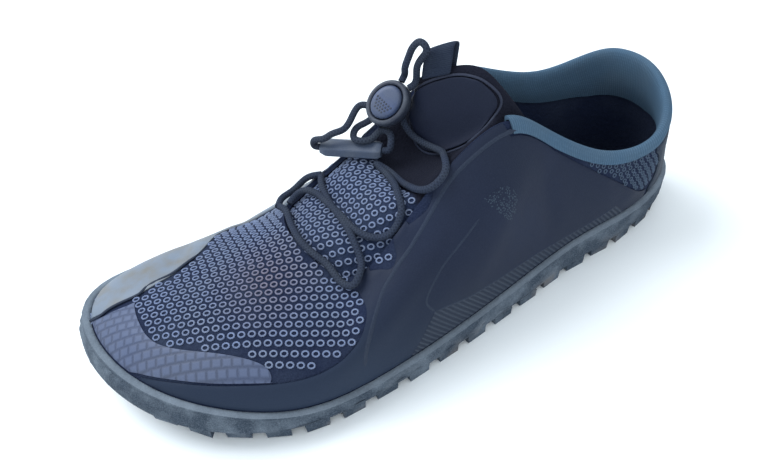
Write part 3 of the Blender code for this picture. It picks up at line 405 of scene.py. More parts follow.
def make_braid():
    """Braided cord: two sets of strands cross round it. Grey-blue, with painted shade in the low gaps between
    strands.
    """
    material, tree, worn = finish("Braided_cord", (0.027, 0.038, 0.068), (0.10, 0.12, 0.145), 0.25, 0.8, 90.0)
    uv = parts(tree, node(tree, "ShaderNodeUVMap", uv_map="UVMap").outputs[0])
    turns = maths(tree, "MULTIPLY", uv[0], 2 * math.pi * BRAID_STRANDS)
    runs = maths(tree, "MULTIPLY", uv[1], 2 * math.pi / BRAID_PITCH * 2)
    one = maths(tree, "SINE", maths(tree, "ADD", turns, runs))
    two = maths(tree, "SINE", maths(tree, "SUBTRACT", turns, runs))
    height = span(tree, maths(tree, "MAXIMUM", one, two), -0.6, 1.0)
    raise_surface(tree, height, 0.0003, 0.6)
    # Painted shade: where the braid's height is low, in the gaps between strands, the colour is darkened.
    paint(tree, blend(tree, span(tree, height, 0.0, 1.0, 0.35, 1.0), (0.014, 0.018, 0.032), worn))
    return material


BRAID = make_braid()
CORD_STEP = LACE * 0.22
END_SHIFT = 0.0004
hairpin_route = [lock_point(14, GAP, END_SHIFT), lock_point(14, LACE, END_SHIFT), *placed(HAIRPIN)]
hairpin_route += [lock_point(-14, LACE, END_SHIFT), lock_point(-14, GAP, END_SHIFT)]
inner_route = [lock_point(130, GAP, -END_SHIFT), lock_point(130, LACE, -END_SHIFT), *placed(TAIL_INNER)]
inner_route += [grip_point(-1, LACE * 0.9) + np.array([0, 0, END_SHIFT]), grip_point(-1, GAP)]
outer_route = [lock_point(165, GAP, -0.002), lock_point(165, LACE, -0.002), *placed(TAIL_OUTER)]
outer_route += [grip_point(1, LACE) + np.array([0, 0, END_SHIFT]), grip_point(1, GAP)]
for name, route in (
    ("lace_hairpin", hairpin_route),
    ("lace_tail_inner", inner_route),
    ("lace_tail_outer", outer_route),
):
    line = smooth_line(route, CORD_STEP)
    points, faces, uv, length = tube_mesh(line, LACE / 2)
    cord = piece(name + "_cord", points, faces, BRAID, uv=uv)
    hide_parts(name)

beside_middle = LOCK_CENTRE - LOCK_ACROSS * 0.0025
below_lock = [beside_middle - LOCK_OUT * (LOCK_BASE + away) for away in (LACE, GAP * 2.4)]
stretches = [placed(LACE_LOWER), placed(LACE_SIDE), placed(LACE_MIDDLE)]
stretches.append(np.concatenate([placed(LACE_UPPER), below_lock]))
for k, route in enumerate(stretches):
    points, faces, uv, _ = tube_mesh(smooth_line(route, CORD_STEP), LACE / 2)
    crossing = piece(f"lace_crossing_{k + 1}", points, faces, BRAID, uv=uv)
    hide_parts("lace_zigzag")

# The upper is one sock of dark knit, lasted over the foot's form and glued into the sole's cup. The
# last's form is read round the sole's edge and up the side, so every layer on it follows the same face.
CUP_WALL = 0.0026
LUG_HEIGHT = 0.003
PLATE = 0.0025
BEAD = 0.0008
TOE_SPRING = 0.011
HEEL_LIFT = 0.0012
SPRING_FROM = 0.68
UPPER_WALL = 0.0018
FLOOR = LUG_HEIGHT + PLATE
# angle, edge, tuck, rim, top_x, top_y, top_z, rise, reach, slope, as shares of the sizes and in degrees
AROUND = (
    (0, 0.000, 0.042, 0.232, 0.053, 0.000, 0.845, 0.325, 0.073, 82.5),
    (15, 0.139, 0.040, 0.231, 0.059, 0.117, 0.818, 0.325, 0.075, 82.5),
    (30, 0.236, 0.034, 0.222, 0.078, 0.234, 0.747, 0.286, 0.070, 83.0),
    (45, 0.304, 0.028, 0.220, 0.122, 0.306, 0.652, 0.238, 0.061, 84.0),
    (60, 0.346, 0.024, 0.212, 0.206, 0.277, 0.652, 0.222, 0.058, 81.0),
    (75, 0.420, 0.022, 0.189, 0.298, 0.211, 0.855, 0.248, 0.078, 68.0),
    (90, 0.500, 0.022, 0.168, 0.374, 0.198, 0.995, 0.254, 0.114, 56.0),
    (105, 0.560, 0.026, 0.152, 0.471, 0.228, 0.868, 0.233, 0.110, 47.5),
    (120, 0.568, 0.036, 0.152, 0.552, 0.269, 0.668, 0.205, 0.101, 38.0),
    (135, 0.478, 0.048, 0.178, 0.613, 0.286, 0.528, 0.230, 0.101, 26.5),
    (150, 0.305, 0.062, 0.196, 0.647, 0.228, 0.516, 0.276, 0.132, 16.5),
    (165, 0.075, 0.077, 0.206, 0.666, 0.126, 0.549, 0.316, 0.164, 13.5),
    (180, -0.150, 0.087, 0.216, 0.675, 0.029, 0.570, 0.338, 0.181, 17.5),
    (195, -0.297, 0.080, 0.222, 0.677, -0.056, 0.575, 0.340, 0.176, 28.0),
    (210, -0.377, 0.068, 0.225, 0.671, -0.134, 0.567, 0.305, 0.146, 40.0),
    (225, -0.420, 0.053, 0.222, 0.650, -0.200, 0.573, 0.285, 0.119, 48.0),
    (240, -0.422, 0.040, 0.218, 0.588, -0.225, 0.655, 0.288, 0.105, 52.0),
    (255, -0.396, 0.036, 0.215, 0.487, -0.252, 0.815, 0.312, 0.112, 58.0),
    (270, -0.350, 0.034, 0.198, 0.378, -0.278, 0.955, 0.318, 0.116, 64.5),
    (285, -0.330, 0.032, 0.188, 0.284, -0.305, 0.852, 0.277, 0.087, 71.5),
    (300, -0.342, 0.030, 0.196, 0.192, -0.317, 0.730, 0.246, 0.065, 79.0),
    (315, -0.335, 0.032, 0.208, 0.117, -0.293, 0.748, 0.256, 0.064, 83.0),
    (330, -0.276, 0.035, 0.221, 0.074, -0.224, 0.806, 0.290, 0.066, 83.5),
    (345, -0.160, 0.039, 0.229, 0.057, -0.116, 0.838, 0.320, 0.072, 83.0),
)
# Soft troughs (negative) and ridges of the worn upper, as places on the last: angle and share up the
# side of the two ends, half width and depth in metres.
CREASES = (
    ((150, 0.80), (196, 0.78), 0.0040, -0.0007),
    ((146, 0.66), (170, 0.62), 0.0050, 0.0006),
    ((186, 0.60), (206, 0.56), 0.0040, -0.0008),
    ((126, 0.56), (137, 0.82), 0.0040, -0.0010),
    ((119, 0.30), (112, 0.72), 0.0055, 0.0010),
    ((108, 0.28), (101, 0.62), 0.0050, -0.0008),
    ((92, 0.32), (84, 0.80), 0.0060, 0.0007),
    ((70, 0.40), (78, 0.76), 0.0045, -0.0008),
    ((50, 0.45), (56, 0.80), 0.0040, -0.0006),
    ((230, 0.50), (222, 0.78), 0.0040, -0.0009),
    ((246, 0.40), (240, 0.80), 0.0050, 0.0007),
    ((268, 0.35), (280, 0.75), 0.0050, -0.0008),
)
around = spline(AROUND, 360.0)


def spring(x):
    toe = np.clip((x / LENGTH - SPRING_FROM) / (1 - SPRING_FROM), 0, None)
    heel = np.clip((0.09 - x / LENGTH) / 0.09, 0, None)
    return TOE_SPRING * toe**2 + HEEL_LIFT * heel**2


def edge(angle):
    def point(a):
        return np.stack([LENGTH * (1 - np.cos(np.radians(a))) / 2, BALL_WIDTH * around(a)[..., 0]], -1)

    along = unit(point(angle + 0.5) - point(angle - 0.5))
    return point(angle), np.stack([-along[..., 1], along[..., 0]], -1)


def bare(angle, v):
    """Outer face of the upper: v is 0 at the sole and 1 at the opening."""
    angle, v = np.broadcast_arrays(np.asarray(angle, float), np.asarray(v, float))
    row = around(angle)
    plan, out = edge(angle)
    out = np.concatenate([out, np.zeros(out.shape[:-1] + (1,))], -1)
    foot = plan - out[..., :2] * (CUP_WALL + GAP)
    foot = np.concatenate([foot, FLOOR + GAP + spring(foot[..., :1])], -1)
    top = row[..., 3:6] * SIZES
    slope = np.radians(row[..., 8:9])
    rise = np.array([0.0, 0.0, 1.0])
    lower = foot + INSTEP_HEIGHT * row[..., 6:7] * (0.9985 * rise + 0.055 * out)
    upper = top + LENGTH * row[..., 7:8] * (np.cos(slope) * out - np.sin(slope) * rise)
    v = v[..., None]
    return foot * (1 - v) ** 3 + 3 * lower * v * (1 - v) ** 2 + 3 * upper * v * v * (1 - v) + top * v**3


crease_ends = [(bare(*one), bare(*two), wide, deep) for one, two, wide, deep in CREASES]


def relief(points):
    """How far the worn creases push the face out, at places on it."""
    total = np.zeros(points.shape[:-1])
    for one, two, wide, deep in crease_ends:
        run = two - one
        t = ((points - one) @ run) / (run @ run)
        off = points - (one + np.clip(t, 0, 1)[..., None] * run)
        ends = np.exp(-((2 * t - 1) ** 4))
        total += deep * ends * np.exp(-(off**2).sum(-1) / wide**2)
    return total


def upper_face(angle, v, lift=0.0):
    """The worn upper's face, or a layer that far off it. Under it with a lift below 0."""
    angle, v, lift = np.broadcast_arrays(*[np.asarray(value, float) for value in (angle, v, lift)])
    across = bare(angle + 0.4, v) - bare(angle - 0.4, v)
    upward = bare(angle, v + 0.01) - bare(angle, v - 0.01)
    face = bare(angle, v)
    return face + unit(np.cross(upward, across)) * (lift + relief(face))[..., None]


def further(angle, v, distance):
    """The share up the side that lies the distance, in metres, beyond v."""
    angle, v = np.broadcast_arrays(np.asarray(angle, float), np.asarray(v, float))
    speed = np.linalg.norm(bare(angle, v + 0.005) - bare(angle, v - 0.005), axis=-1) / 0.01
    return v + distance / speed


def rim(angle):
    """The share up the side where the sole's rim ends."""
    angle = np.atleast_1d(np.asarray(angle, float))
    tries = np.linspace(0, 0.7, 71)
    height = bare(angle[:, None], tries[None, :])[..., 2] - spring(edge(angle)[0][:, :1])
    want = around(angle)[:, 2] * INSTEP_HEIGHT
    return np.array([np.interp(w, h, tries) for w, h in zip(want, height)])


def grid_faces(rows, columns, closed=False):
    faces = []
    for i in range(rows if closed else rows - 1):
        for j in range(columns - 1):
            a, b = i * columns + j, (i + 1) % rows * columns + j
            faces.append((a, b, b + 1, a + 1))
    return faces


def shell(name, front, back_face, material, closed=False, uv=None):
    """A sheet between two grids of the same size. With closed, the grids run round and meet."""
    rows, columns = front.shape[:2]
    half = rows * columns
    points = np.concatenate([front.reshape(-1, 3), back_face.reshape(-1, 3)])
    faces = grid_faces(rows, columns, closed)
    faces += [tuple(half + i for i in reversed(f)) for f in grid_faces(rows, columns, closed)]
    for i in range(rows if closed else rows - 1):
        for j in (0, columns - 1):
            a, b = i * columns + j, (i + 1) % rows * columns + j
            faces.append((a, half + a, half + b, b))
    if not closed:
        for i in (0, rows - 1):
            for j in range(columns - 1):
                a = i * columns + j
                faces.append((a, a + 1, half + a + 1, half + a))
    if uv is not None:
        uv = np.concatenate([uv.reshape(-1, 2)] * 2)
    return piece(name, points, faces, material, uv=uv)


def make_knit():
    """Dark knit base under the loops: small uneven stitches, navy, with pale dust."""
    material, tree, _ = finish("Dark_knit", (0.012, 0.019, 0.048), (0.055, 0.075, 0.125), 0.30, 0.9, 45.0)
    place = on_piece(tree)
    rows = node(tree, "ShaderNodeTexNoise", {"Vector": place, "Scale": 520.0, "Detail": 2.0})
    grain = node(tree, "ShaderNodeTexVoronoi", {"Vector": place, "Scale": 900.0})
    height = maths(tree, "ADD", rows.outputs[0], maths(tree, "MULTIPLY", grain.outputs[0], 0.7))
    raise_surface(tree, height, 0.0005, 0.8)
    return material


turns = np.arange(0, 360, 1.5)[:, None]
shares = np.linspace(0, 1, 61)[None, :]
outer_face = upper_face(turns, shares, 0.0)
inner_face = upper_face(turns, shares, -UPPER_WALL)
upper = shell("upper_knit", outer_face, inner_face, make_knit(), closed=True)
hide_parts("upper")

# The smooth panels are thin rubbery sheets, heat-bonded to the knit. They frame the throat with a
# scalloped edge that holds the lace, and run down to the sole's rim.
PANEL = 0.0009
FILM = 0.0006
LIFT = GAP / 2
LOOP_PITCH = 0.0039
LOOP_ROW = 0.0032
LOOP_WAY = np.array([-0.92, 0.40])
LOOP_STEP = np.array([0.40, 0.92])
BAND_WIDTH = 0.0055
HEEL_BAND = 0.5
FINE_STEP = (1.25, 1 / 60)
SIDE_SCALE = (1.0, 40.0)
BORDER_STEP = 0.22
EDGE_SHARE = 0.45
AT_OPENING = 0.999
OUTER_TOE = (
    (157.6, 0.232), (155, 0.262), (151, 0.308), (146, 0.350), (140, 0.385), (134, 0.392), (129, 0.392),
    (124.5, 0.402), (121.8, 0.440), (121, 0.500), (122, 0.580), (125, 0.690), (129, 0.790),
    (134, 0.890), (137.6, 0.955),
)
OUTER_EYES = (
    (136.8, 0.985), (133.6, 0.985), (130, 0.962), (126, 0.915), (122.6, 0.872), (121.2, 0.900),
    (121.7, 0.955), (121.6, 0.985), (119.2, 0.985), (116.5, 0.972), (113, 0.950), (110.4, 0.948),
    (108.9, 0.970), (108.4, 0.985),
)
OUTER_REAR = (
    (74.5, 0.900), (69, 0.885), (62, 0.840), (55, 0.720), (48, 0.540), (42.5, 0.400), (38, 0.330),
)
INNER_TOE = (
    (181.5, 0.220), (180.8, 0.300), (181.6, 0.400), (183.2, 0.500), (186, 0.590), (189.5, 0.660),
    (194, 0.700), (200, 0.690), (207, 0.650), (214, 0.610), (221, 0.605), (226, 0.650), (228, 0.750),
    (226, 0.860), (221.4, 0.950),
)
INNER_EYES = (
    (219.6, 0.985), (224, 0.985), (226, 0.955), (230, 0.905), (234, 0.905), (235.8, 0.950),
    (236.2, 0.985), (239.4, 0.985), (241, 0.955), (245, 0.935), (249, 0.950), (251, 0.985),
)
INNER_REAR = (
    (285.5, 0.900), (291, 0.885), (298, 0.840), (305, 0.720), (312, 0.540), (317.5, 0.400),
    (322, 0.330),
)
FILM_MESH = (
    (180.4, 0.475), (177, 0.462), (173, 0.450), (168, 0.435), (163.5, 0.440), (159, 0.483),
    (154, 0.533), (148, 0.548), (142, 0.517), (137.5, 0.455), (135.6, 0.408),
)
COUNTER_SIDE = ((35.5, 0.300), (33.5, 0.420), (36, 0.600), (40, 0.770), (43, 0.862))


def under_band(angle):
    turn = np.abs((np.asarray(angle, float) + 180) % 360 - 180)
    width = BAND_WIDTH * np.interp(turn, (0, 50, 62, 74), (HEEL_BAND, HEEL_BAND, 0.7, 1.0))
    return further(angle, further(angle, 0.999, -width / 2), -width / 2 - GAP)


def smooth_border(rows, count):
    rows = np.array(rows, float)
    return spline(np.column_stack([np.linspace(0, 1, len(rows)), rows]))(np.linspace(0, 1, count))


def rim_line(first, last, count):
    angle = np.linspace(first, last, count)
    return np.column_stack([angle, further(angle, rim(angle) * 1.02, 0.0011)])


def band_line(first, last, count):
    angle = np.linspace(first, last, count)
    return np.column_stack([angle, under_band(angle) - GAP / 0.08])


def opening_line(first, last):
    return np.column_stack([np.linspace(first, last, 16), np.full(16, AT_OPENING)])


def patch(name, border, lift, thick, material):
    """A sheet that follows the upper inside a border drawn on it. Its upper edge is rounded off."""
    border = np.array(border, float)
    keep = [0]
    for i in range(1, len(border)):
        if np.linalg.norm((border[i] - border[keep[-1]]) * SIDE_SCALE) > BORDER_STEP:
            keep.append(i)
    border = border[keep]
    inside = []
    first = np.ceil(border.min(0) / FINE_STEP) * FINE_STEP
    for a in np.arange(first[0], border.max(0)[0], FINE_STEP[0]):
        for b in np.arange(first[1], border.max(0)[1], FINE_STEP[1]):
            near = np.linalg.norm((border - [a, b]) * SIDE_SCALE, axis=1).min()
            if near > 0.5 * FINE_STEP[0]:
                inside.append((a, b))
    flat = np.concatenate([border, np.array(inside).reshape(-1, 2)]) * SIDE_SCALE
    count = len(border)
    edges = [(i, (i + 1) % count) for i in range(count)]
    made = delaunay_2d_cdt([Vector(p) for p in flat], edges, [], 1, 1e-6)
    used = sorted({i for triangle in made[2] for i in triangle})
    place = np.array([made[0][i][:] for i in used]) / SIDE_SCALE
    number = {old: new for new, old in enumerate(used)}
    triangles = [tuple(number[i] for i in triangle) for triangle in made[2]]
    sides = {(t[i], t[(i + 1) % 3]) for t in triangles for i in range(3)}
    rim_edges = [(a, b) for a, b in sides if (b, a) not in sides]
    height = np.full(len(place), lift + thick)
    for a, b in rim_edges:
        height[[a, b]] = lift + thick * EDGE_SHARE
    front = upper_face(place[:, 0], place[:, 1], height)
    under = upper_face(place[:, 0], place[:, 1], np.full(len(place), lift))
    total = len(place)
    faces = triangles + [tuple(total + i for i in reversed(t)) for t in triangles]
    faces += [(b, a, total + a, total + b) for a, b in rim_edges]
    return piece(name, np.concatenate([front, under]), faces, material)


def knit_cells(tree, place):
    """The rows of loops under the film, as soft cells: 1 on a cell and 0 between."""
    lines = []
    for way in (LOOP_WAY, LOOP_STEP):
        along = node(tree, "ShaderNodeVectorMath", {0: place, 1: (*way, 0)}, operation="DOT_PRODUCT")
        lines.append(along.outputs[1])
    flat = node(tree, "ShaderNodeCombineXYZ", {0: lines[0], 1: lines[1]})
    rows = {"Vector": flat.outputs[0], "Scale": 100.0, "Mortar Size": 0.09, "Mortar Smooth": 1.0}
    rows["Brick Width"] = LOOP_PITCH * 100
    rows["Row Height"] = LOOP_ROW * 100
    knit = node(tree, "ShaderNodeTexBrick", rows, offset=0.5)
    return maths(tree, "SUBTRACT", 1.0, knit.outputs["Fac"])


def make_sheet(name, colour, dust_colour, dust, roughness, cells=False, coat=0.0):
    """Smooth bonded sheet with a fine leathery grain. With cells, the knit presses through it."""
    material, tree, worn = finish(name, colour, dust_colour, dust, roughness, 22.0, coat)
    place = on_piece(tree)
    grain = node(tree, "ShaderNodeTexNoise", {"Vector": place, "Scale": 2400.0, "Detail": 3.0})
    height = maths(tree, "MULTIPLY", grain.outputs[0], 0.35)
    if cells:
        cell = knit_cells(tree, place)
        height = maths(tree, "ADD", height, cell)
        paint(tree, blend(tree, maths(tree, "MULTIPLY", cell, 0.45), worn, (0.130, 0.165, 0.270)))
    raise_surface(tree, height, 0.0004, 0.6)
    return material


def make_outer_panel():
    """The outer side's sheet, rubbed paler low on its front."""
    material = make_sheet("Smooth_panel", (0.0125, 0.019, 0.042), (0.045, 0.062, 0.098), 0.16, 0.5)
    tree = material.node_tree
    place = parts(tree, on_piece(tree))
    to_front = span(tree, place[0], -0.005, 0.045)
    to_foot = span(tree, place[2], 0.050, 0.020, 0.0, 0.55)
    rubbed = maths(tree, "MULTIPLY", to_front, to_foot)
    paint(tree, blend(tree, rubbed, colour_of(tree), (0.024, 0.040, 0.072)))
    return material


def make_inner_panel():
    """The inner side's sheet, whose toe end is pale, with dirt in patches."""
    material = make_sheet("Inner_panel", (0.0125, 0.019, 0.042), (0.045, 0.062, 0.098), 0.16, 0.5)
    tree = material.node_tree
    place = on_piece(tree)
    dirt = node(tree, "ShaderNodeTexNoise", {"Vector": place, "Scale": 110.0, "Detail": 6.0})
    dirty = span(tree, dirt.outputs[0], 0.42, 0.70)
    pale = blend(tree, dirty, (0.155, 0.195, 0.255), (0.150, 0.155, 0.155))
    to_toe = span(tree, parts(tree, place)[0], 0.015, 0.05)
    paint(tree, blend(tree, to_toe, colour_of(tree), pale))
    tree.nodes["Principled BSDF"].inputs["Specular IOR Level"].default_value = 0.4
    return material


TOE_FILM = make_sheet("Toe_film", (0.062, 0.082, 0.150), (0.17, 0.19, 0.24), 0.22, 0.42, True, 0.05)
COUNTER = make_sheet("Heel_sheet", (0.020, 0.030, 0.052), (0.08, 0.10, 0.135), 0.30, 0.6)
outer = [
    rim_line(157.0, 38.5, 160),
    smooth_border(OUTER_REAR[::-1], 60),
    band_line(75.5, 89, 16),
    np.array([(90.2, AT_OPENING)]),
    opening_line(92, 107),
    smooth_border(OUTER_EYES[7:][::-1], 40),
    smooth_border(OUTER_EYES[:7][::-1], 40),
    smooth_border(OUTER_TOE[::-1], 110),
]
inner = [
    smooth_border(INNER_TOE, 110),
    smooth_border(INNER_EYES[:6], 36),
    smooth_border(INNER_EYES[6:], 36),
    opening_line(253, 268),
    np.array([(269.8, AT_OPENING)]),
    band_line(271, 284.5, 16),
    smooth_border(INNER_REAR, 60),
    rim_line(321.5, 182, 170),
]
for border in outer[3:] + inner[1:]:
    border[:, 1] = np.where(border[:, 1] > 0.972, AT_OPENING, border[:, 1])
film = [
    smooth_border(FILM_MESH[::-1], 80),
    smooth_border([(180.0, 0.44), (179.6, 0.36), (179.4, 0.30), (180, 0.235)], 16),
    rim_line(179, 160.4, 26),
    smooth_border([(a + 1.0, v + 0.014) for a, v in OUTER_TOE[:6]], 44),
]
counter = [
    rim_line(-35, 35, 60),
    smooth_border(COUNTER_SIDE, 30),
    band_line(43.5, -43.5, 60),
    smooth_border([(-a, v) for a, v in COUNTER_SIDE[::-1]], 30),
]
for name, border, thick, material, slot in (
    ("side_panel_outer", outer, PANEL, make_outer_panel(), "black_sheet"),
    ("side_panel_inner", inner, PANEL, make_inner_panel(), "black_sheet"),
    ("toe_film", film, FILM, TOE_FILM, "blue_film"),
    ("heel_counter", counter, PANEL, COUNTER, "counter_sheet"),
):
    sheet = patch(name + "_sheet", np.concatenate(border), LIFT, thick, material)
    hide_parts(name)

# Thin zones pressed into the outer panel: one above the sole with slanting ribs, and one speckled with
# small dots. Their edges and the raised seams are weld lines, worn lighter by dust.
RIB_PITCH = 0.0024
RIB_SLANT = 0.8
SEAM_FRONT = (
    (87, 0.955), (93, 0.955), (99, 0.955), (105, 0.95), (110, 0.917), (115, 0.883), (117, 0.867),
    (120, 0.85), (122, 0.817), (123, 0.767), (121, 0.633), (117, 0.45), (113, 0.30),
)
SEAM_MIDDLE = ((97, 0.70), (101, 0.645), (104, 0.59), (104.5, 0.50), (103, 0.433), (100, 0.367))
SEAM_LOW = (
    (100, 0.367), (92, 0.315), (86, 0.295), (81, 0.29), (76, 0.295), (72, 0.302), (67, 0.312),
    (64, 0.325), (61, 0.34), (57, 0.375), (52, 0.43),
)
SEAM_TOE = (
    (181, 0.2), (180, 0.283), (181, 0.35), (182, 0.433), (183, 0.5), (185, 0.533), (187, 0.6),
    (189, 0.65), (192, 0.7),
)
SPECKLED_BORDER = (
    (97, 0.77), (94, 0.70), (90, 0.63), (86.5, 0.585), (86, 0.64), (88, 0.715), (92, 0.765),
)
SEAMS = (
    ("seam_front", SEAM_FRONT, 0.0010, 0.0005),
    ("seam_middle", SEAM_MIDDLE, 0.0007, 0.0004),
    ("seam_low", SEAM_LOW, 0.0007, 0.0004),
    ("seam_toe_inner", SEAM_TOE, 0.0006, 0.0003),
)


def make_ribbed():
    """Fine slanting ribs, moulded into the sheet, with painted shade in the grooves between them."""
    material = make_sheet("Ribbed_zone", (0.042, 0.056, 0.084), (0.09, 0.11, 0.15), 0.25, 0.55)
    tree = material.node_tree
    place = parts(tree, on_piece(tree))
    run = maths(tree, "SUBTRACT", place[0], maths(tree, "MULTIPLY", place[2], RIB_SLANT))
    wave = maths(tree, "SINE", maths(tree, "MULTIPLY", run, 2 * math.pi / RIB_PITCH))
    ribs = span(tree, wave, -1.0, 1.0)
    raise_surface(tree, ribs, 0.0005, 1.0)
    # Painted shade: the grooves between the ribs are darkened by the rib wave.
    paint(tree, blend(tree, ribs, (0.020, 0.028, 0.048), colour_of(tree)))
    return material


def make_speckled():
    """The panel's sheet with small paler dots."""
    material = make_sheet("Speckled_zone", (0.012, 0.018, 0.040), (0.045, 0.062, 0.098), 0.16, 0.5)
    tree = material.node_tree
    dots = node(tree, "ShaderNodeTexVoronoi", {"Vector": on_piece(tree), "Scale": 1250.0})
    light = span(tree, dots.outputs[0], 0.42, 0.26, 0.0, 0.6)
    paint(tree, blend(tree, light, colour_of(tree), (0.062, 0.092, 0.125)))
    return material


SEAM_SHEET = make_sheet("Weld_line", (0.020, 0.029, 0.053), (0.075, 0.095, 0.135), 0.28, 0.6)
ZONE = 0.0002
on_panel = LIFT + PANEL
ribbed_border = np.concatenate([smooth_border(SEAM_LOW, 90), rim_line(47, 101, 90) + [0, 0.012]])
for name, border, material in (
    ("zone_ribbed", ribbed_border, make_ribbed()),
    ("zone_speckled", smooth_border(SPECKLED_BORDER, 60), make_speckled()),
):
    zone = patch(name, border, on_panel - ZONE / 2, ZONE, material)


def bead(name, rows, width, height, material, lift):
    """A low rounded ridge along a line drawn on the upper, thinner at its ends."""
    line = smooth_border(rows, 26 * len(rows))
    middle_line = upper_face(line[:, 0], line[:, 1], lift)
    out = unit(upper_face(line[:, 0], line[:, 1], lift + 0.001) - middle_line)
    side = unit(np.cross(unit(np.gradient(middle_line, axis=0)), out))
    shares = np.linspace(-1, 1, 9)
    from_ends = np.minimum(np.arange(len(line)), np.arange(len(line))[::-1])
    taper = np.clip(from_ends / 8, 0.05, 1)[:, None, None]
    low_rise = -0.0003
    grid = middle_line[:, None] + side[:, None] * shares[None, :, None] * width * taper
    rise = (np.sqrt(1 - shares**2)[None, :, None] * height + low_rise) * taper
    return shell(name, grid + out[:, None] * rise, grid + out[:, None] * (low_rise - 0.0002), material)


for name, rows, width, height in SEAMS:
    seam = bead(name, rows, width, height, SEAM_SHEET, on_panel)

# The padded collar: soft ribbed knit over foam, hooked over the upper's edge, with a narrow band
# outside and a deep pad inside that holds the heel.
BAND = 0.0013
COLLAR_PAD = 0.0024


def make_lining():
    """Ribbed knit, pale blue on the ribs, with painted shade in the grooves between them."""
    material, tree, worn = finish("Collar_knit", (0.080, 0.150, 0.235), (0.165, 0.25, 0.34), 0.30, 0.9, 60.0)
    uv = parts(tree, node(tree, "ShaderNodeUVMap", uv_map="UVMap").outputs[0])
    ribs = maths(tree, "SINE", maths(tree, "MULTIPLY", uv[0], 2 * math.pi / 0.0011))
    cross = maths(tree, "SINE", maths(tree, "MULTIPLY", uv[1], 2 * math.pi / 0.0016))
    height = maths(tree, "MULTIPLY", span(tree, ribs, -1, 1), span(tree, cross, -1, 1, 0.55, 1.0))
    # Painted shade: the grooves between the ribs, where the height is low, are darkened.
    paint(tree, blend(tree, span(tree, height, 0.0, 1.0, 0.45, 1.0), (0.035, 0.070, 0.115), worn))
    raise_surface(tree, height, 0.0003, 0.7)
    return material


angle = np.linspace(-88, 88, 200)
turn = np.abs(angle)
depth = np.interp(turn, (0, 35, 60, 88), (0.026, 0.022, 0.014, 0.008))
lower = under_band(angle) + GAP / 0.06
deep = further(angle, further(angle, 0.99, -depth / 2), -depth / 2)
upward = unit(bare(angle, 1.0) - bare(angle, 0.99))
inside = -UPPER_WALL - GAP * 1.4
pad = COLLAR_PAD * np.interp(turn, (0, 70, 88), (1, 1, 0.55))


def collar_lines(lift_low, lift_top, over, lift_in, lift_mid, lift_end):
    """Eight lines round the collar: up the outside, over the upper's edge and down the inside."""
    edge_share = np.ones_like(lower)
    outside = ((lower, lift_low), ((lower + 1) / 2, lift_top), (edge_share, lift_top))
    lines = [upper_face(angle, v, lift) for v, lift in outside]
    lines.append(upper_face(angle, 1.0, -UPPER_WALL / 2) + upward * over)
    down = (
        (edge_share, lift_in),
        ((deep + 2) / 3, lift_mid),
        ((2 * deep + 1) / 3, lift_mid),
        (deep, lift_end),
    )
    lines += [upper_face(angle, v, lift) for v, lift in down]
    return np.stack(lines, 1)


def refined(lines, count=30):
    at = np.linspace(0, 1, lines.shape[1])
    flat = np.moveaxis(lines, 1, 0).reshape(lines.shape[1], -1)
    fine_rows = spline(np.column_stack([at, flat]))(np.linspace(0, 1, count))
    return np.moveaxis(fine_rows.reshape(count, len(lines), 3), 0, 1)


hidden = refined(collar_lines(GAP, GAP, GAP * 1.5, inside, inside, inside))
band_lifts = (GAP + BAND * 0.5, GAP + BAND * 0.7, GAP + BAND * 1.5)
shown = refined(collar_lines(*band_lifts, inside - pad * 0.45, inside - pad * 0.8, inside - 0.0009))
run = np.append(0, np.cumsum(np.linalg.norm(np.diff(shown[:, 10], axis=0), axis=1)))
climb = np.append(0, np.cumsum(np.linalg.norm(np.diff(shown[100], axis=0), axis=1)))
collar_uv = np.stack(np.broadcast_arrays(run[:, None], climb[None, :]), -1)
collar = shell("collar_knit", shown, hidden, make_lining(), uv=collar_uv)
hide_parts("collar")

# The tongue is a gusseted sheet of the same loopy knit, lightly padded, with a smooth panel on its
# pad and a webbing loop to pull it up. Its hidden sides are sewn inside the upper.
KNIT_END = 0.004
PIPING = 0.0006
PIPING_OFF = 0.0010
ROUNDING = 2


def copy_of(name, new_name, material):
    """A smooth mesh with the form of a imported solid: merged, made quads and subdivided."""
    shape = bmesh.new()
    shape.from_mesh(bpy.data.objects[name].data)
    bmesh.ops.remove_doubles(shape, verts=shape.verts, dist=2e-6)
    bmesh.ops.recalc_face_normals(shape, faces=shape.faces)
    bmesh.ops.join_triangles(
        shape,
        faces=shape.faces,
        angle_face_threshold=math.radians(40),
        angle_shape_threshold=math.radians(60),
    )
    mesh = bpy.data.meshes.new(new_name)
    shape.to_mesh(mesh)
    shape.free()
    mesh.materials.clear()
    mesh.materials.append(material)
    made = bpy.data.objects.new(new_name, mesh)
    bpy.context.scene.collection.objects.link(made)
    smooth = made.modifiers.new("Round", "SUBSURF")
    smooth.levels = ROUNDING
    smooth.render_levels = ROUNDING
    bpy.context.view_layer.update()
    result = bpy.data.meshes.new_from_object(made.evaluated_get(bpy.context.evaluated_depsgraph_get()))
    made.modifiers.clear()
    made.data = result
    result.shade_smooth()
    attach(made, "shoe")
    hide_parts(name)
    return made


def make_tongue_knit():
    """The loopy knit's base below, and plain dark cloth on the pad above the throat."""
    colours = ((0.014, 0.024, 0.060), (0.055, 0.075, 0.125))
    material, tree, worn = finish("Tongue_knit", *colours, 0.30, 0.9, 45.0)
    place = on_piece(tree)
    grain = node(tree, "ShaderNodeTexVoronoi", {"Vector": place, "Scale": 900.0})
    raise_surface(tree, grain.outputs[0], 0.0004, 0.8)
    above = span(tree, parts(tree, place)[0], KNIT_END + 0.001, KNIT_END - 0.001)
    paint(tree, blend(tree, above, worn, (0.0095, 0.0110, 0.0205)))
    return material


tongue = copy_of("tongue", "tongue_cloth", make_tongue_knit())
PAD = make_sheet("Tongue_pad", (0.0115, 0.016, 0.037), (0.03, 0.04, 0.065), 0.20, 0.55)
tongue_pad = copy_of("tongue_panel", "tongue_pad", PAD)


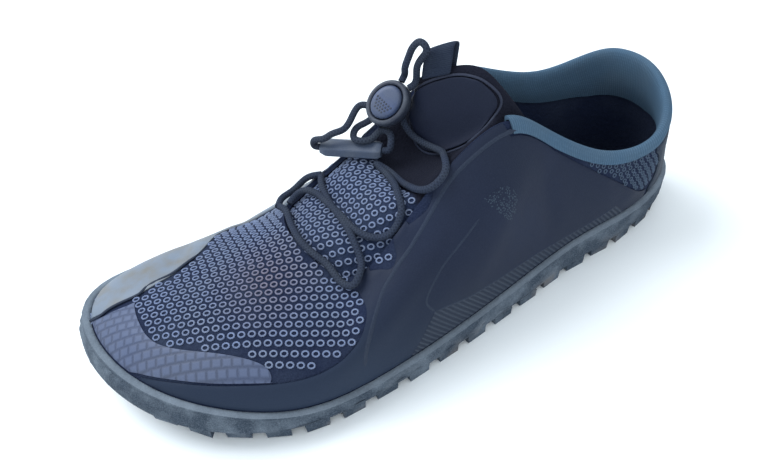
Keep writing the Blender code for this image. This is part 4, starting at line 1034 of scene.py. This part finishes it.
def piping_route():
    """A line on the tongue's cloth, a little outside the pad all round."""
    cloth = BVHTree.FromPolygons(
        [v.co.copy() for v in tongue.data.vertices],
        [tuple(p.vertices) for p in tongue.data.polygons],
    )
    points = np.array([v.co[:] for v in tongue_pad.data.vertices])
    middle = points.mean(0)
    side, rise, out = np.linalg.svd(points - middle, full_matrices=False)[2]
    out = out * np.sign(out[2])
    flat = (points - middle) @ np.stack([side, rise], 1)
    hull = flat[convex_hull_2d([Vector(p) for p in flat])]
    hull = hull + unit(hull) * PIPING_OFF
    hull = np.vstack([hull, hull[:1]])
    run = np.append(0, np.cumsum(np.linalg.norm(np.diff(hull, axis=0), axis=1)))
    steps = np.linspace(0, run[-1], 90)
    route = []
    for a, b in zip(*[np.interp(steps, run, hull[:, k]) for k in (0, 1)]):
        above = Vector(middle + side * a + rise * b + out * 0.02)
        hit = cloth.ray_cast(above, Vector(-out))[0]
        if hit:
            route.append(np.array(hit) + out * PIPING / 2)
    route = np.array(route)
    for _ in range(3):
        route[1:-1] = (route[:-2] + 2 * route[1:-1] + route[2:]) / 4
    return route + CENTRE


PIPING_SHEET = make_sheet("Pad_piping", (0.022, 0.029, 0.055), (0.08, 0.09, 0.13), 0.30, 0.55)
points, faces, uv, _ = tube_mesh(piping_route(), PIPING, 8)
piping = piece("tongue_pad_piping", points, faces, PIPING_SHEET, uv=uv)


def make_webbing():
    """Woven tape with fine level rows."""
    material, tree, _ = finish("Webbing", (0.018, 0.026, 0.048), (0.06, 0.08, 0.12), 0.25, 0.85, 120.0)
    weave = node(tree, "ShaderNodeTexWave", {"Vector": on_piece(tree), "Scale": 420.0}, bands_direction="Z")
    raise_surface(tree, weave.outputs[1], 0.0002, 0.5)
    return material


pull = copy_of("tongue_pull_loop", "tongue_pull_webbing", make_webbing())

# The knit's raised loops: pale yarn rings stand on the dark base in staggered rows, all over the toe,
# the throat and the heel's quarter, wherever no sheet covers them.
LOOP_RADIUS = 0.00128
YARN = 0.00038
QUARTER_SIZE = 0.72
LOOP_NARROWING = 0.82
LOOP_CLEAR = 0.0028
LOWEST_LOOP = 0.029
LATTICE_MIDDLE = np.array([0.045, 0.0])
LOOP_STAIN = (0.066, 0.006, 0.046)


def make_loop_tree():
    """A ring of yarn on every point of a mesh, turned and sized by the point's attributes."""
    tree = bpy.data.node_groups.new("Yarn_loops", "GeometryNodeTree")
    for name, kind, way in (
        ("Geometry", "Geometry", "INPUT"),
        ("Loop radius", "Float", "INPUT"),
        ("Yarn radius", "Float", "INPUT"),
        ("Narrowing", "Float", "INPUT"),
        ("Material", "Material", "INPUT"),
        ("Geometry", "Geometry", "OUTPUT"),
    ):
        tree.interface.new_socket(name, in_out=way, socket_type="NodeSocket" + kind)
    source = tree.nodes.new("NodeGroupInput").outputs
    sink = tree.nodes.new("NodeGroupOutput")
    ring = node(tree, "GeometryNodeCurvePrimitiveCircle", {"Resolution": 10, "Radius": source["Loop radius"]})
    narrow = node(tree, "ShaderNodeCombineXYZ", {0: 1.0, 1: source["Narrowing"], 2: 1.0})
    oval_ring = node(tree, "GeometryNodeTransform", {"Geometry": ring.outputs[0], "Scale": narrow.outputs[0]})
    yarn = node(tree, "GeometryNodeCurvePrimitiveCircle", {"Resolution": 5, "Radius": source["Yarn radius"]})
    sweep = {"Curve": oval_ring.outputs[0], "Profile Curve": yarn.outputs[0]}
    loop = node(tree, "GeometryNodeCurveToMesh", sweep)
    points = node(tree, "GeometryNodeMeshToPoints", {"Mesh": source["Geometry"]})
    held = {}
    for name in ("out", "along", "size"):
        held[name] = node(tree, "GeometryNodeInputNamedAttribute", {"Name": name}, data_type="FLOAT_VECTOR")
    turn = {"Vector": held["out"].outputs[0]}
    facing = node(tree, "FunctionNodeAlignRotationToVector", turn, axis="Z", pivot_axis="AUTO")
    turn = {"Vector": held["along"].outputs[0], "Rotation": facing.outputs[0]}
    turned = node(tree, "FunctionNodeAlignRotationToVector", turn, axis="X", pivot_axis="Z")
    stand = {"Points": points.outputs[0], "Instance": loop.outputs[0]}
    stand.update({"Rotation": turned.outputs[0], "Scale": held["size"].outputs[0]})
    stood = node(tree, "GeometryNodeInstanceOnPoints", stand)
    real = node(tree, "GeometryNodeRealizeInstances", {"Geometry": stood.outputs[0]})
    dress = {"Geometry": real.outputs[0], "Material": source["Material"]}
    painted = node(tree, "GeometryNodeSetMaterial", dress)
    tree.links.new(painted.outputs[0], sink.inputs[0])
    return tree


def make_yarn():
    """Pale blue yarn: brownish where the vamp is dirty, and darker on the heel's quarters."""
    material, tree, worn = finish("Loop_yarn", (0.190, 0.245, 0.400), (0.36, 0.42, 0.56), 0.30, 0.8, 70.0)
    place = on_piece(tree)
    twist = node(tree, "ShaderNodeTexWave", {"Vector": place, "Scale": 1400.0}, bands_direction="DIAGONAL")
    raise_surface(tree, twist.outputs[1], 0.0002, 0.7)
    away = node(tree, "ShaderNodeVectorMath", {0: place, 1: LOOP_STAIN}, operation="DISTANCE").outputs[1]
    stain = maths(tree, "MULTIPLY", span(tree, away, 0.026, 0.004), 0.6)
    stained = blend(tree, stain, worn, (0.205, 0.165, 0.205))
    behind = span(tree, parts(tree, place)[0], -0.055, -0.065)
    paint(tree, blend(tree, behind, stained, (0.085, 0.120, 0.180)))
    return material


YARN_FINISH = make_yarn()
LOOPS = make_loop_tree()
COVERS = ("side_panel_outer_sheet", "side_panel_inner_sheet", "toe_film_sheet", "heel_counter_sheet")
corner_points, corner_faces, owner = [], [], []
for k, name in enumerate(("upper_knit", "tongue_cloth", *COVERS, "collar_knit", "tongue_pad")):
    cover = bpy.data.objects[name].data
    start = len(corner_points)
    corner_points += [v.co.copy() for v in cover.vertices]
    corner_faces += [tuple(start + i for i in p.vertices) for p in cover.polygons]
    owner += [k] * len(cover.polygons)
skin = BVHTree.FromPolygons(corner_points, corner_faces)


def knit_below(x, y):
    """The topmost surface under a place in plan."""
    return skin.ray_cast(Vector((x, y, 0.2)), Vector((0, 0, -1)))[:3]


def bare_knit(hit, normal, size=1.0):
    """Whether a ring at the place would lie on knit all round, clear of every sheet's edge."""
    side = normal.cross(Vector((0.3, 1.0, 0.2))).normalized()
    for k in range(6):
        way = Matrix.Rotation(k * math.pi / 3, 3, normal) @ side
        seen = skin.ray_cast(hit + way * LOOP_RADIUS * size * 0.95 + normal * 0.002, -normal)
        if seen[0] is None or seen[3] > 0.0034 or owner[seen[2]] > 1:
            return False
    return True


rings_of_yarn = []


def stand_ring(place, out, along, size):
    rings_of_yarn.append((Vector(place), Vector(out), Vector(along), size))


along_row = np.arange(-0.15, 0.1501, 0.0005)
for i in range(-26, 27):
    row_middle = LOOP_STEP * LOOP_ROW * i
    heights = []
    for x, y in LOOP_WAY * along_row[:, None] + row_middle + LATTICE_MIDDLE:
        hit = knit_below(x, y)[0]
        heights.append(hit.z if hit else 0.0)
    climb = np.clip(np.diff(heights), -0.001, 0.001)
    length = np.append(0, np.cumsum(np.hypot(np.diff(along_row), climb)))
    begin = np.interp(0.0, along_row, length) + (LOOP_PITCH / 2 if i % 2 else 0)
    for want in begin + np.arange(-40, 41) * LOOP_PITCH:
        if not 0 < want < length[-1]:
            continue
        x, y = LOOP_WAY * np.interp(want, length, along_row) + row_middle + LATTICE_MIDDLE
        hit, normal, index = knit_below(x, y)
        if hit is None or owner[index] > 1 or normal.z < 0.12 or hit.z < LOWEST_LOOP or hit.x < KNIT_END:
            continue
        if bare_knit(hit, normal) and all((hit - ring[0]).length > LOOP_CLEAR for ring in rings_of_yarn):
            stand_ring(hit + normal * YARN * 0.5, normal, (*LOOP_WAY, 0.0), 1.0)

for first, last in ((37, 76), (284, 323)):
    angles = np.linspace(first, last, 201)
    for row, v in enumerate(np.arange(0.42, 0.97, 0.048)):
        length = np.append(0, np.cumsum(np.linalg.norm(np.diff(bare(angles, v), axis=0), axis=1)))
        for want in np.arange((row % 2) * LOOP_PITCH / 2, length[-1], LOOP_PITCH * 0.8):
            a = float(np.interp(want, length, angles))
            face = upper_face(a, v, 0.0)
            out = Vector(unit(upper_face(a, v, 0.001) - face))
            spot = Vector(face - CENTRE)
            if bare_knit(spot, out, QUARTER_SIZE):
                stand_ring(spot + out * YARN * 0.4, out, (0.0, 0.0, 1.0), QUARTER_SIZE)

seeds = bpy.data.meshes.new("loop_places")
seeds.from_pydata([tuple(ring[0]) for ring in rings_of_yarn], [], [])
ways = {
    "out": [tuple(ring[1]) for ring in rings_of_yarn],
    "along": [tuple(ring[2]) for ring in rings_of_yarn],
    "size": [(ring[3],) * 3 for ring in rings_of_yarn],
}
for name, rows in ways.items():
    stored = seeds.attributes.new(name, "FLOAT_VECTOR", "POINT")
    stored.data.foreach_set("vector", np.array(rows, np.float32).ravel())
grower = bpy.data.objects.new("loop_places", seeds)
bpy.context.scene.collection.objects.link(grower)
growth = grower.modifiers.new("Loops", "NODES")
growth.node_group = LOOPS
values = {
    "Loop radius": LOOP_RADIUS,
    "Yarn radius": YARN,
    "Narrowing": LOOP_NARROWING,
    "Material": YARN_FINISH,
}
for item in LOOPS.interface.items_tree:
    if item.in_out == "INPUT" and item.name in values:
        growth[item.identifier] = values[item.name]
bpy.context.view_layer.update()
looped = bpy.data.meshes.new_from_object(grower.evaluated_get(bpy.context.evaluated_depsgraph_get()))
bpy.data.objects.remove(grower)
looped.shade_smooth()
loops = bpy.data.objects.new("knit_loops", looped)
if not looped.materials:
    looped.materials.append(YARN_FINISH)
bpy.context.scene.collection.objects.link(loops)
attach(loops, "shoe")

# The cord lock: an oval moulded body with a rounded rim, and a domed button that a thumb presses
# against a spring. Grip dots stand on the button's lower half.


def oval(name, rings, material, body):
    """A closed form through oval rings round the lock's middle: height, half length and half width."""
    turn = np.radians(np.arange(0, 360, 6))[:, None]
    lines = []
    for height, long, short in rings:
        line = LOCK_UP * long * np.cos(turn) + LOCK_ACROSS * short * np.sin(turn) + LOCK_OUT * height
        lines.append(LOCK_CENTRE + line)
    count = len(turn)
    faces = []
    for k in range(len(lines) - 1):
        for i in range(count):
            j = (i + 1) % count
            faces.append((k * count + i, k * count + j, (k + 1) * count + j, (k + 1) * count + i))
    last = count * (len(lines) - 1)
    faces += [tuple(reversed(range(count))), tuple(range(last, last + count))]
    return piece(name, np.concatenate(lines), faces, material, body)


def make_plastic(name, colour, dust, roughness):
    """Moulded plastic with a fine matt grain."""
    material, tree, _ = finish(name, colour, (0.15, 0.18, 0.23), dust, roughness, 120.0, shine=0.4)
    grain = node(tree, "ShaderNodeTexNoise", {"Vector": on_piece(tree), "Scale": 3000.0, "Detail": 2.0})
    raise_surface(tree, grain.outputs[0], 0.0001, 0.5)
    return material


PLASTIC = make_plastic("Lock_plastic", (0.024, 0.031, 0.055), 0.25, 0.42)
BUTTON = make_plastic("Button_plastic", (0.048, 0.072, 0.150), 0.20, 0.38)
BUTTON_ROUND = 0.0015
DOT_ROW = 0.00125
DOT_PITCH = 0.0013
DOT_RINGS = ((0, 0.00048), (0.0002, 0.00040), (0.0003, 0.00018))
long, short = LOCK_LONG / 2, LOCK_SHORT / 2


def ring(height, inset):
    return height, long - inset, short - inset


shell_rings = (
    (-LOCK_BASE, 0.0030),
    (-LOCK_BASE + 0.0003, 0.0018),
    (-LOCK_BASE + 0.0011, 0.0008),
    (-0.0020, 0.0001),
    (0.0, 0.0),
    (0.0016, 0.0),
    (LOCK_RIM - 0.0008, 0.0002),
    (LOCK_RIM - 0.0002, 0.0006),
    (LOCK_RIM, 0.0011),
    (LOCK_RIM, LOCK_EDGE - 0.0005),
    (LOCK_RIM - 0.0004, LOCK_EDGE - 0.0001),
    (0.0, LOCK_EDGE),
    (-LOCK_BASE + LOCK_WALL, LOCK_EDGE),
)
lock = oval("cord_lock_shell", [ring(*row) for row in shell_rings], PLASTIC, "shoe")
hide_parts("cord_lock_body")
slim = LOCK_EDGE + GAP * 1.2
foot = -LOCK_BASE + LOCK_WALL + BUTTON_TRAVEL + GAP * 1.2
shoulder = BUTTON_TOP - BUTTON_ROUND
rings = [ring(foot, slim + 0.0003), ring(foot + 0.0003, slim), ring(shoulder, slim)]
for t in (0.3, 0.6, 0.9, 1.2):
    rings.append(ring(shoulder + BUTTON_ROUND * math.sin(t), slim + 0.0016 * (1 - math.cos(t))))
rings += [ring(BUTTON_TOP - 0.00005, slim + 0.0022), ring(BUTTON_TOP, slim + 0.0040)]
button = oval("cord_lock_thumb_button", rings, BUTTON, "lock_button")
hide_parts("cord_lock_button")
dot_points, dot_faces = [], []


def grip_dot(middle_dot):
    """A small low dome of three rings of eight corners."""
    start = len(dot_points)
    for height, radius in DOT_RINGS:
        for t in np.radians(np.arange(0, 360, 45)):
            away = LOCK_UP * math.cos(t) + LOCK_ACROSS * math.sin(t)
            dot_points.append(middle_dot + LOCK_OUT * height + radius * away)
    for low in (start, start + 8):
        for i in range(8):
            j = (i + 1) % 8
            dot_faces.append((low + i, low + j, low + 8 + j, low + 8 + i))
    dot_faces.append(tuple(start + i for i in reversed(range(8))))
    dot_faces.append(tuple(start + 16 + i for i in range(8)))


for i in range(-3, 4):
    for j in range(4):
        up_place = -0.0004 - j * DOT_ROW
        side_place = (i + (0.5 if j % 2 else 0)) * DOT_PITCH
        if (up_place / (long - slim)) ** 2 + (side_place / (short - slim)) ** 2 <= 0.55:
            on_top = LOCK_CENTRE + LOCK_OUT * (BUTTON_TOP - 0.0001)
            grip_dot(on_top + LOCK_UP * up_place + LOCK_ACROSS * side_place)
dots = piece("cord_lock_grip_dots", dot_points, dot_faces, PLASTIC, "lock_button")

# The bar that joins the lace's ends: a flat six-sided plastic clip, narrower at its ends, with soft
# edges. The lace's two ends are held inside it.
BAR_SECTION = ((1.0, 0.0), (0.56, 1.0), (-0.56, 1.0), (-1.0, 0.0), (-0.56, -1.0), (0.56, -1.0))
BAR_STATIONS = (
    (-0.5, 0.62), (-0.49, 0.70), (-0.40, 0.97), (-0.36, 1.0), (0.40, 1.0), (0.44, 0.97), (0.49, 0.82),
    (0.5, 0.74),
)
points, faces = [], []
for place, share in BAR_STATIONS:
    centre = GRIP_CENTRE + GRIP_RUN * GRIP_LENGTH * place
    for w, t in BAR_SECTION:
        corner = GRIP_ACROSS * w * GRIP_WIDTH / 2 + GRIP_OUT * t * GRIP_THICK / 2
        points.append(centre + corner * share)
for low in range(0, len(points) - 6, 6):
    for i in range(6):
        j = (i + 1) % 6
        faces.append((low + i, low + j, low + 6 + j, low + 6 + i))
faces += [tuple(reversed(range(6))), tuple(range(len(points) - 6, len(points)))]
GRIP = make_plastic("Bar_plastic", (0.046, 0.068, 0.120), 0.25, 0.40)
bar = piece("lace_grip_bar", points, faces, GRIP)
bevel = bar.modifiers.new("Edges", "BEVEL")
bevel.width = 0.0004
bevel.segments = 2
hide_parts("lace_grip")

# The sole is one moulded rubber cup: a thin plate, a side wall with a bead round its rim that holds the
# upper, and low lugs under it. Dust and grit cling to its wall.


def make_rubber():
    """Dusty rubber: gritty, paler on what faces up, which is settled dust and a painted highlight on the
    rim's top, with brown mud low down.
    """
    material, tree, worn = finish("Sole_rubber", (0.034, 0.050, 0.075), (0.20, 0.245, 0.30), 0.60, 0.75, 75.0)
    place = on_piece(tree)
    sand = {"Vector": place, "Scale": 700.0, "Detail": 4.0, "Roughness": 0.7}
    grit = node(tree, "ShaderNodeTexNoise", sand)
    pits = node(tree, "ShaderNodeTexVoronoi", {"Vector": place, "Scale": 420.0})
    height = maths(tree, "ADD", grit.outputs[0], maths(tree, "MULTIPLY", pits.outputs[0], 0.5))
    raise_surface(tree, height, 0.0006, 0.8)
    stain = node(tree, "ShaderNodeTexNoise", {"Vector": place, "Scale": 38.0, "Detail": 3.0})
    low_share = span(tree, parts(tree, place)[2], 0.012, 0.002)
    mud = maths(tree, "MULTIPLY", span(tree, stain.outputs[0], 0.50, 0.68), low_share, True)
    # What faces up is paler: settled dust together with a painted highlight along the rim's top.
    facing = parts(tree, node(tree, "ShaderNodeNewGeometry").outputs["Normal"])
    lit_top_and_dust = maths(tree, "MULTIPLY", span(tree, facing[2], 0.25, 0.9), 0.55)
    dusty = blend(tree, lit_top_and_dust, worn, (0.21, 0.255, 0.31))
    paint(tree, blend(tree, maths(tree, "MULTIPLY", mud, 0.6), dusty, (0.20, 0.15, 0.11)))
    return material


RUBBER = make_rubber()
SIDE_RINGS = (
    (0.20, 0.99), (0.50, 0.96), (0.74, 0.86), (0.81, 0.84), (0.845, 0.84 + 0.7 * BEAD / CUP_WALL),
    (0.89, 0.84 + BEAD / CUP_WALL), (0.94, 0.82 + BEAD / CUP_WALL), (0.99, 0.72), (1.02, 0.50),
    (1.02, 0.10),
)
LUGS_AROUND = 42
LUG_SLIP = 0.0004
STUD = BALL_WIDTH * 0.042
angle = np.arange(0, 360, 1.0)
plan, out = edge(angle)
tuck = around(angle)[:, 1:2] * BALL_WIDTH
top = rim(angle)


def sole_ring(inset, height):
    """A ring round the sole, inside its edge, that rises with the toe and heel."""
    place = plan - out * inset
    return np.column_stack([place, spring(place[:, 0]) + height])


rings = [
    sole_ring(tuck * 2.5, LUG_HEIGHT),
    sole_ring(tuck, LUG_HEIGHT),
    sole_ring(tuck * 0.7, LUG_HEIGHT + 0.0006),
    sole_ring(tuck * 0.4, LUG_HEIGHT + 0.0018),
    sole_ring(0.0002, LUG_HEIGHT + 0.0045),
]
round_turn = np.radians(angle)
ragged = 0.10 * np.sin(round_turn * 61) * np.sin(round_turn * 23 + 1) + 0.07 * np.sin(round_turn * 97)
for share, lift in SIDE_RINGS:
    wear = ragged if share < 0.8 else ragged * 0.15
    rings.append(upper_face(angle, top * share, CUP_WALL * (lift + wear)))
rings += [upper_face(angle, top * share, -0.0002) for share in (0.9, 0.0)]
points = np.concatenate(rings)
count = len(angle)
faces = []
for k in range(len(rings) - 1):
    for i in range(count):
        j = (i + 1) % count
        faces.append((k * count + i, k * count + j, (k + 1) * count + j, (k + 1) * count + i))
for k in (0, len(rings) - 1):
    for i in range(1, count // 2):
        a, b = k * count + i, k * count + count - i
        before_a, before_b = a - 1, k * count + (count - i + 1) % count
        faces.append((before_a, a, b, before_b) if i > 1 else (before_a, a, b))
    i = count // 2
    faces.append((k * count + i - 1, k * count + i, k * count + i + 1))
sole = piece("outsole_rubber", points, faces, RUBBER)
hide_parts("outsole")

lug_points, lug_faces = [], []
random.seed(11)


def lug(corners, taper, buried=PLATE / 3):
    """One block of the tread, narrower at its foot. Its top ends inside the plate or the side."""
    start = len(lug_points)
    middle_lug = np.mean(corners, axis=0)
    for share, height in ((taper - 0.05, 0.0), (taper, 0.0003), (1.0, LUG_HEIGHT + buried)):
        for corner in corners:
            place = middle_lug + (np.array(corner) - middle_lug) * share
            lug_points.append([place[0], place[1], spring(place[0]) + height])
    n = len(corners)
    lug_faces.append(tuple(start + i for i in range(n)))
    lug_faces.append(tuple(start + 2 * n + i for i in reversed(range(n))))
    for low in (start, start + n):
        for i in range(n):
            j = (i + 1) % n
            lug_faces.append((low + i, low + j, low + n + j, low + n + i))


fine_turn = np.linspace(0, 360, 721)
line = edge(fine_turn)[0]
length = np.append(0, np.cumsum(np.linalg.norm(np.diff(line, axis=0), axis=1)))
pitch = length[-1] / LUGS_AROUND
for k in range(LUGS_AROUND):
    ends = np.interp([pitch * (k + 0.17), pitch * (k + 0.83)], length, fine_turn)
    (p, q), (m, n) = edge(ends)
    a, b = around(ends)[:, 1] * BALL_WIDTH + LUG_SLIP
    reach = BALL_WIDTH * (0.075 if k % 2 else 0.105)
    a, b = a * random.uniform(0.15, 0.45), b * random.uniform(0.15, 0.45)
    corners = [p - m * a, q - n * b, q - n * (b + reach), p - m * (a + reach)]
    lug(corners, 0.93, random.uniform(0.0015, 0.0032))
for i in range(14):
    x = LENGTH * (0.10 + 0.8 * i / 13)
    at = math.degrees(math.acos(1 - 2 * x / LENGTH))
    outer_y, inner_y = edge(np.array(at))[0][1], edge(np.array(360 - at))[0][1]
    middle_y = (outer_y + inner_y) / 2
    room = (outer_y - inner_y) / 2 - BALL_WIDTH * 0.19
    for k in range(-2, 3):
        y = middle_y + (k + 0.5 * (i % 2)) * BALL_WIDTH * 0.15
        if abs(y - middle_y) < room:
            lug([(x - STUD, y), (x, y - STUD * 0.9), (x + STUD, y), (x, y + STUD * 0.9)], 0.9)
lugs = piece("outsole_lugs", lug_points, lug_faces, RUBBER, smooth=False)
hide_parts("outsole")

# The foot bed is a thin dark sheet of foam with a cloth top, laid loose in the shoe. It keeps its
# packed form and only gets its finish here.
FOOT_BED, bed_tree, _ = finish("Foot_bed_cloth", (0.006, 0.010, 0.026), (0.02, 0.03, 0.05), 0.25, 0.9, 60.0)
bed_weave = node(bed_tree, "ShaderNodeTexVoronoi", {"Vector": on_piece(bed_tree), "Scale": 800.0})
raise_surface(bed_tree, bed_weave.outputs[0], 0.0003, 0.7)
bed = bpy.data.objects["insole"]
bed.data.materials.clear()
bed.data.materials.append(FOOT_BED)

# A plain pale floor and soft light from above, as on a white table by a window.
floor_mesh = bpy.data.meshes.new("Floor")
floor_mesh.from_pydata([(-4, -4, 0), (4, -4, 0), (4, 4, 0), (-4, 4, 0)], [], [(0, 1, 2, 3)])
floor_finish = bpy.data.materials.new("Pale_floor")
floor_finish.use_nodes = True
floor_finish.node_tree.nodes["Principled BSDF"].inputs["Base Color"].default_value = (0.93, 0.975, 1.0, 1)
floor_finish.node_tree.nodes["Principled BSDF"].inputs["Roughness"].default_value = 0.7
floor_mesh.materials.append(floor_finish)
floor = bpy.data.objects.new("Floor", floor_mesh)
bpy.context.scene.collection.objects.link(floor)
world = bpy.data.worlds.new("Sky")
world.use_nodes = True
world.node_tree.nodes["Background"].inputs[0].default_value = (0.90, 0.955, 1.0, 1)
world.node_tree.nodes["Background"].inputs[1].default_value = 0.92
bpy.context.scene.world = world
for name, place, size, power, tint in (
    ("Window", (0.55, -0.6, 1.1), 0.9, 16, (0.93, 0.97, 1.0)),
    ("Fill", (0.2, 1.2, 1.2), 1.6, 6, (0.90, 0.96, 1.0)),
):
    lamp = bpy.data.lights.new(name, "AREA")
    lamp.size = size
    lamp.energy = power
    lamp.color = tint
    stand = bpy.data.objects.new(name, lamp)
    stand.location = place
    stand.rotation_euler = (Vector((0, 0, 0.03)) - Vector(place)).to_track_quat("-Z", "Y").to_euler()
    bpy.context.scene.collection.objects.link(stand)
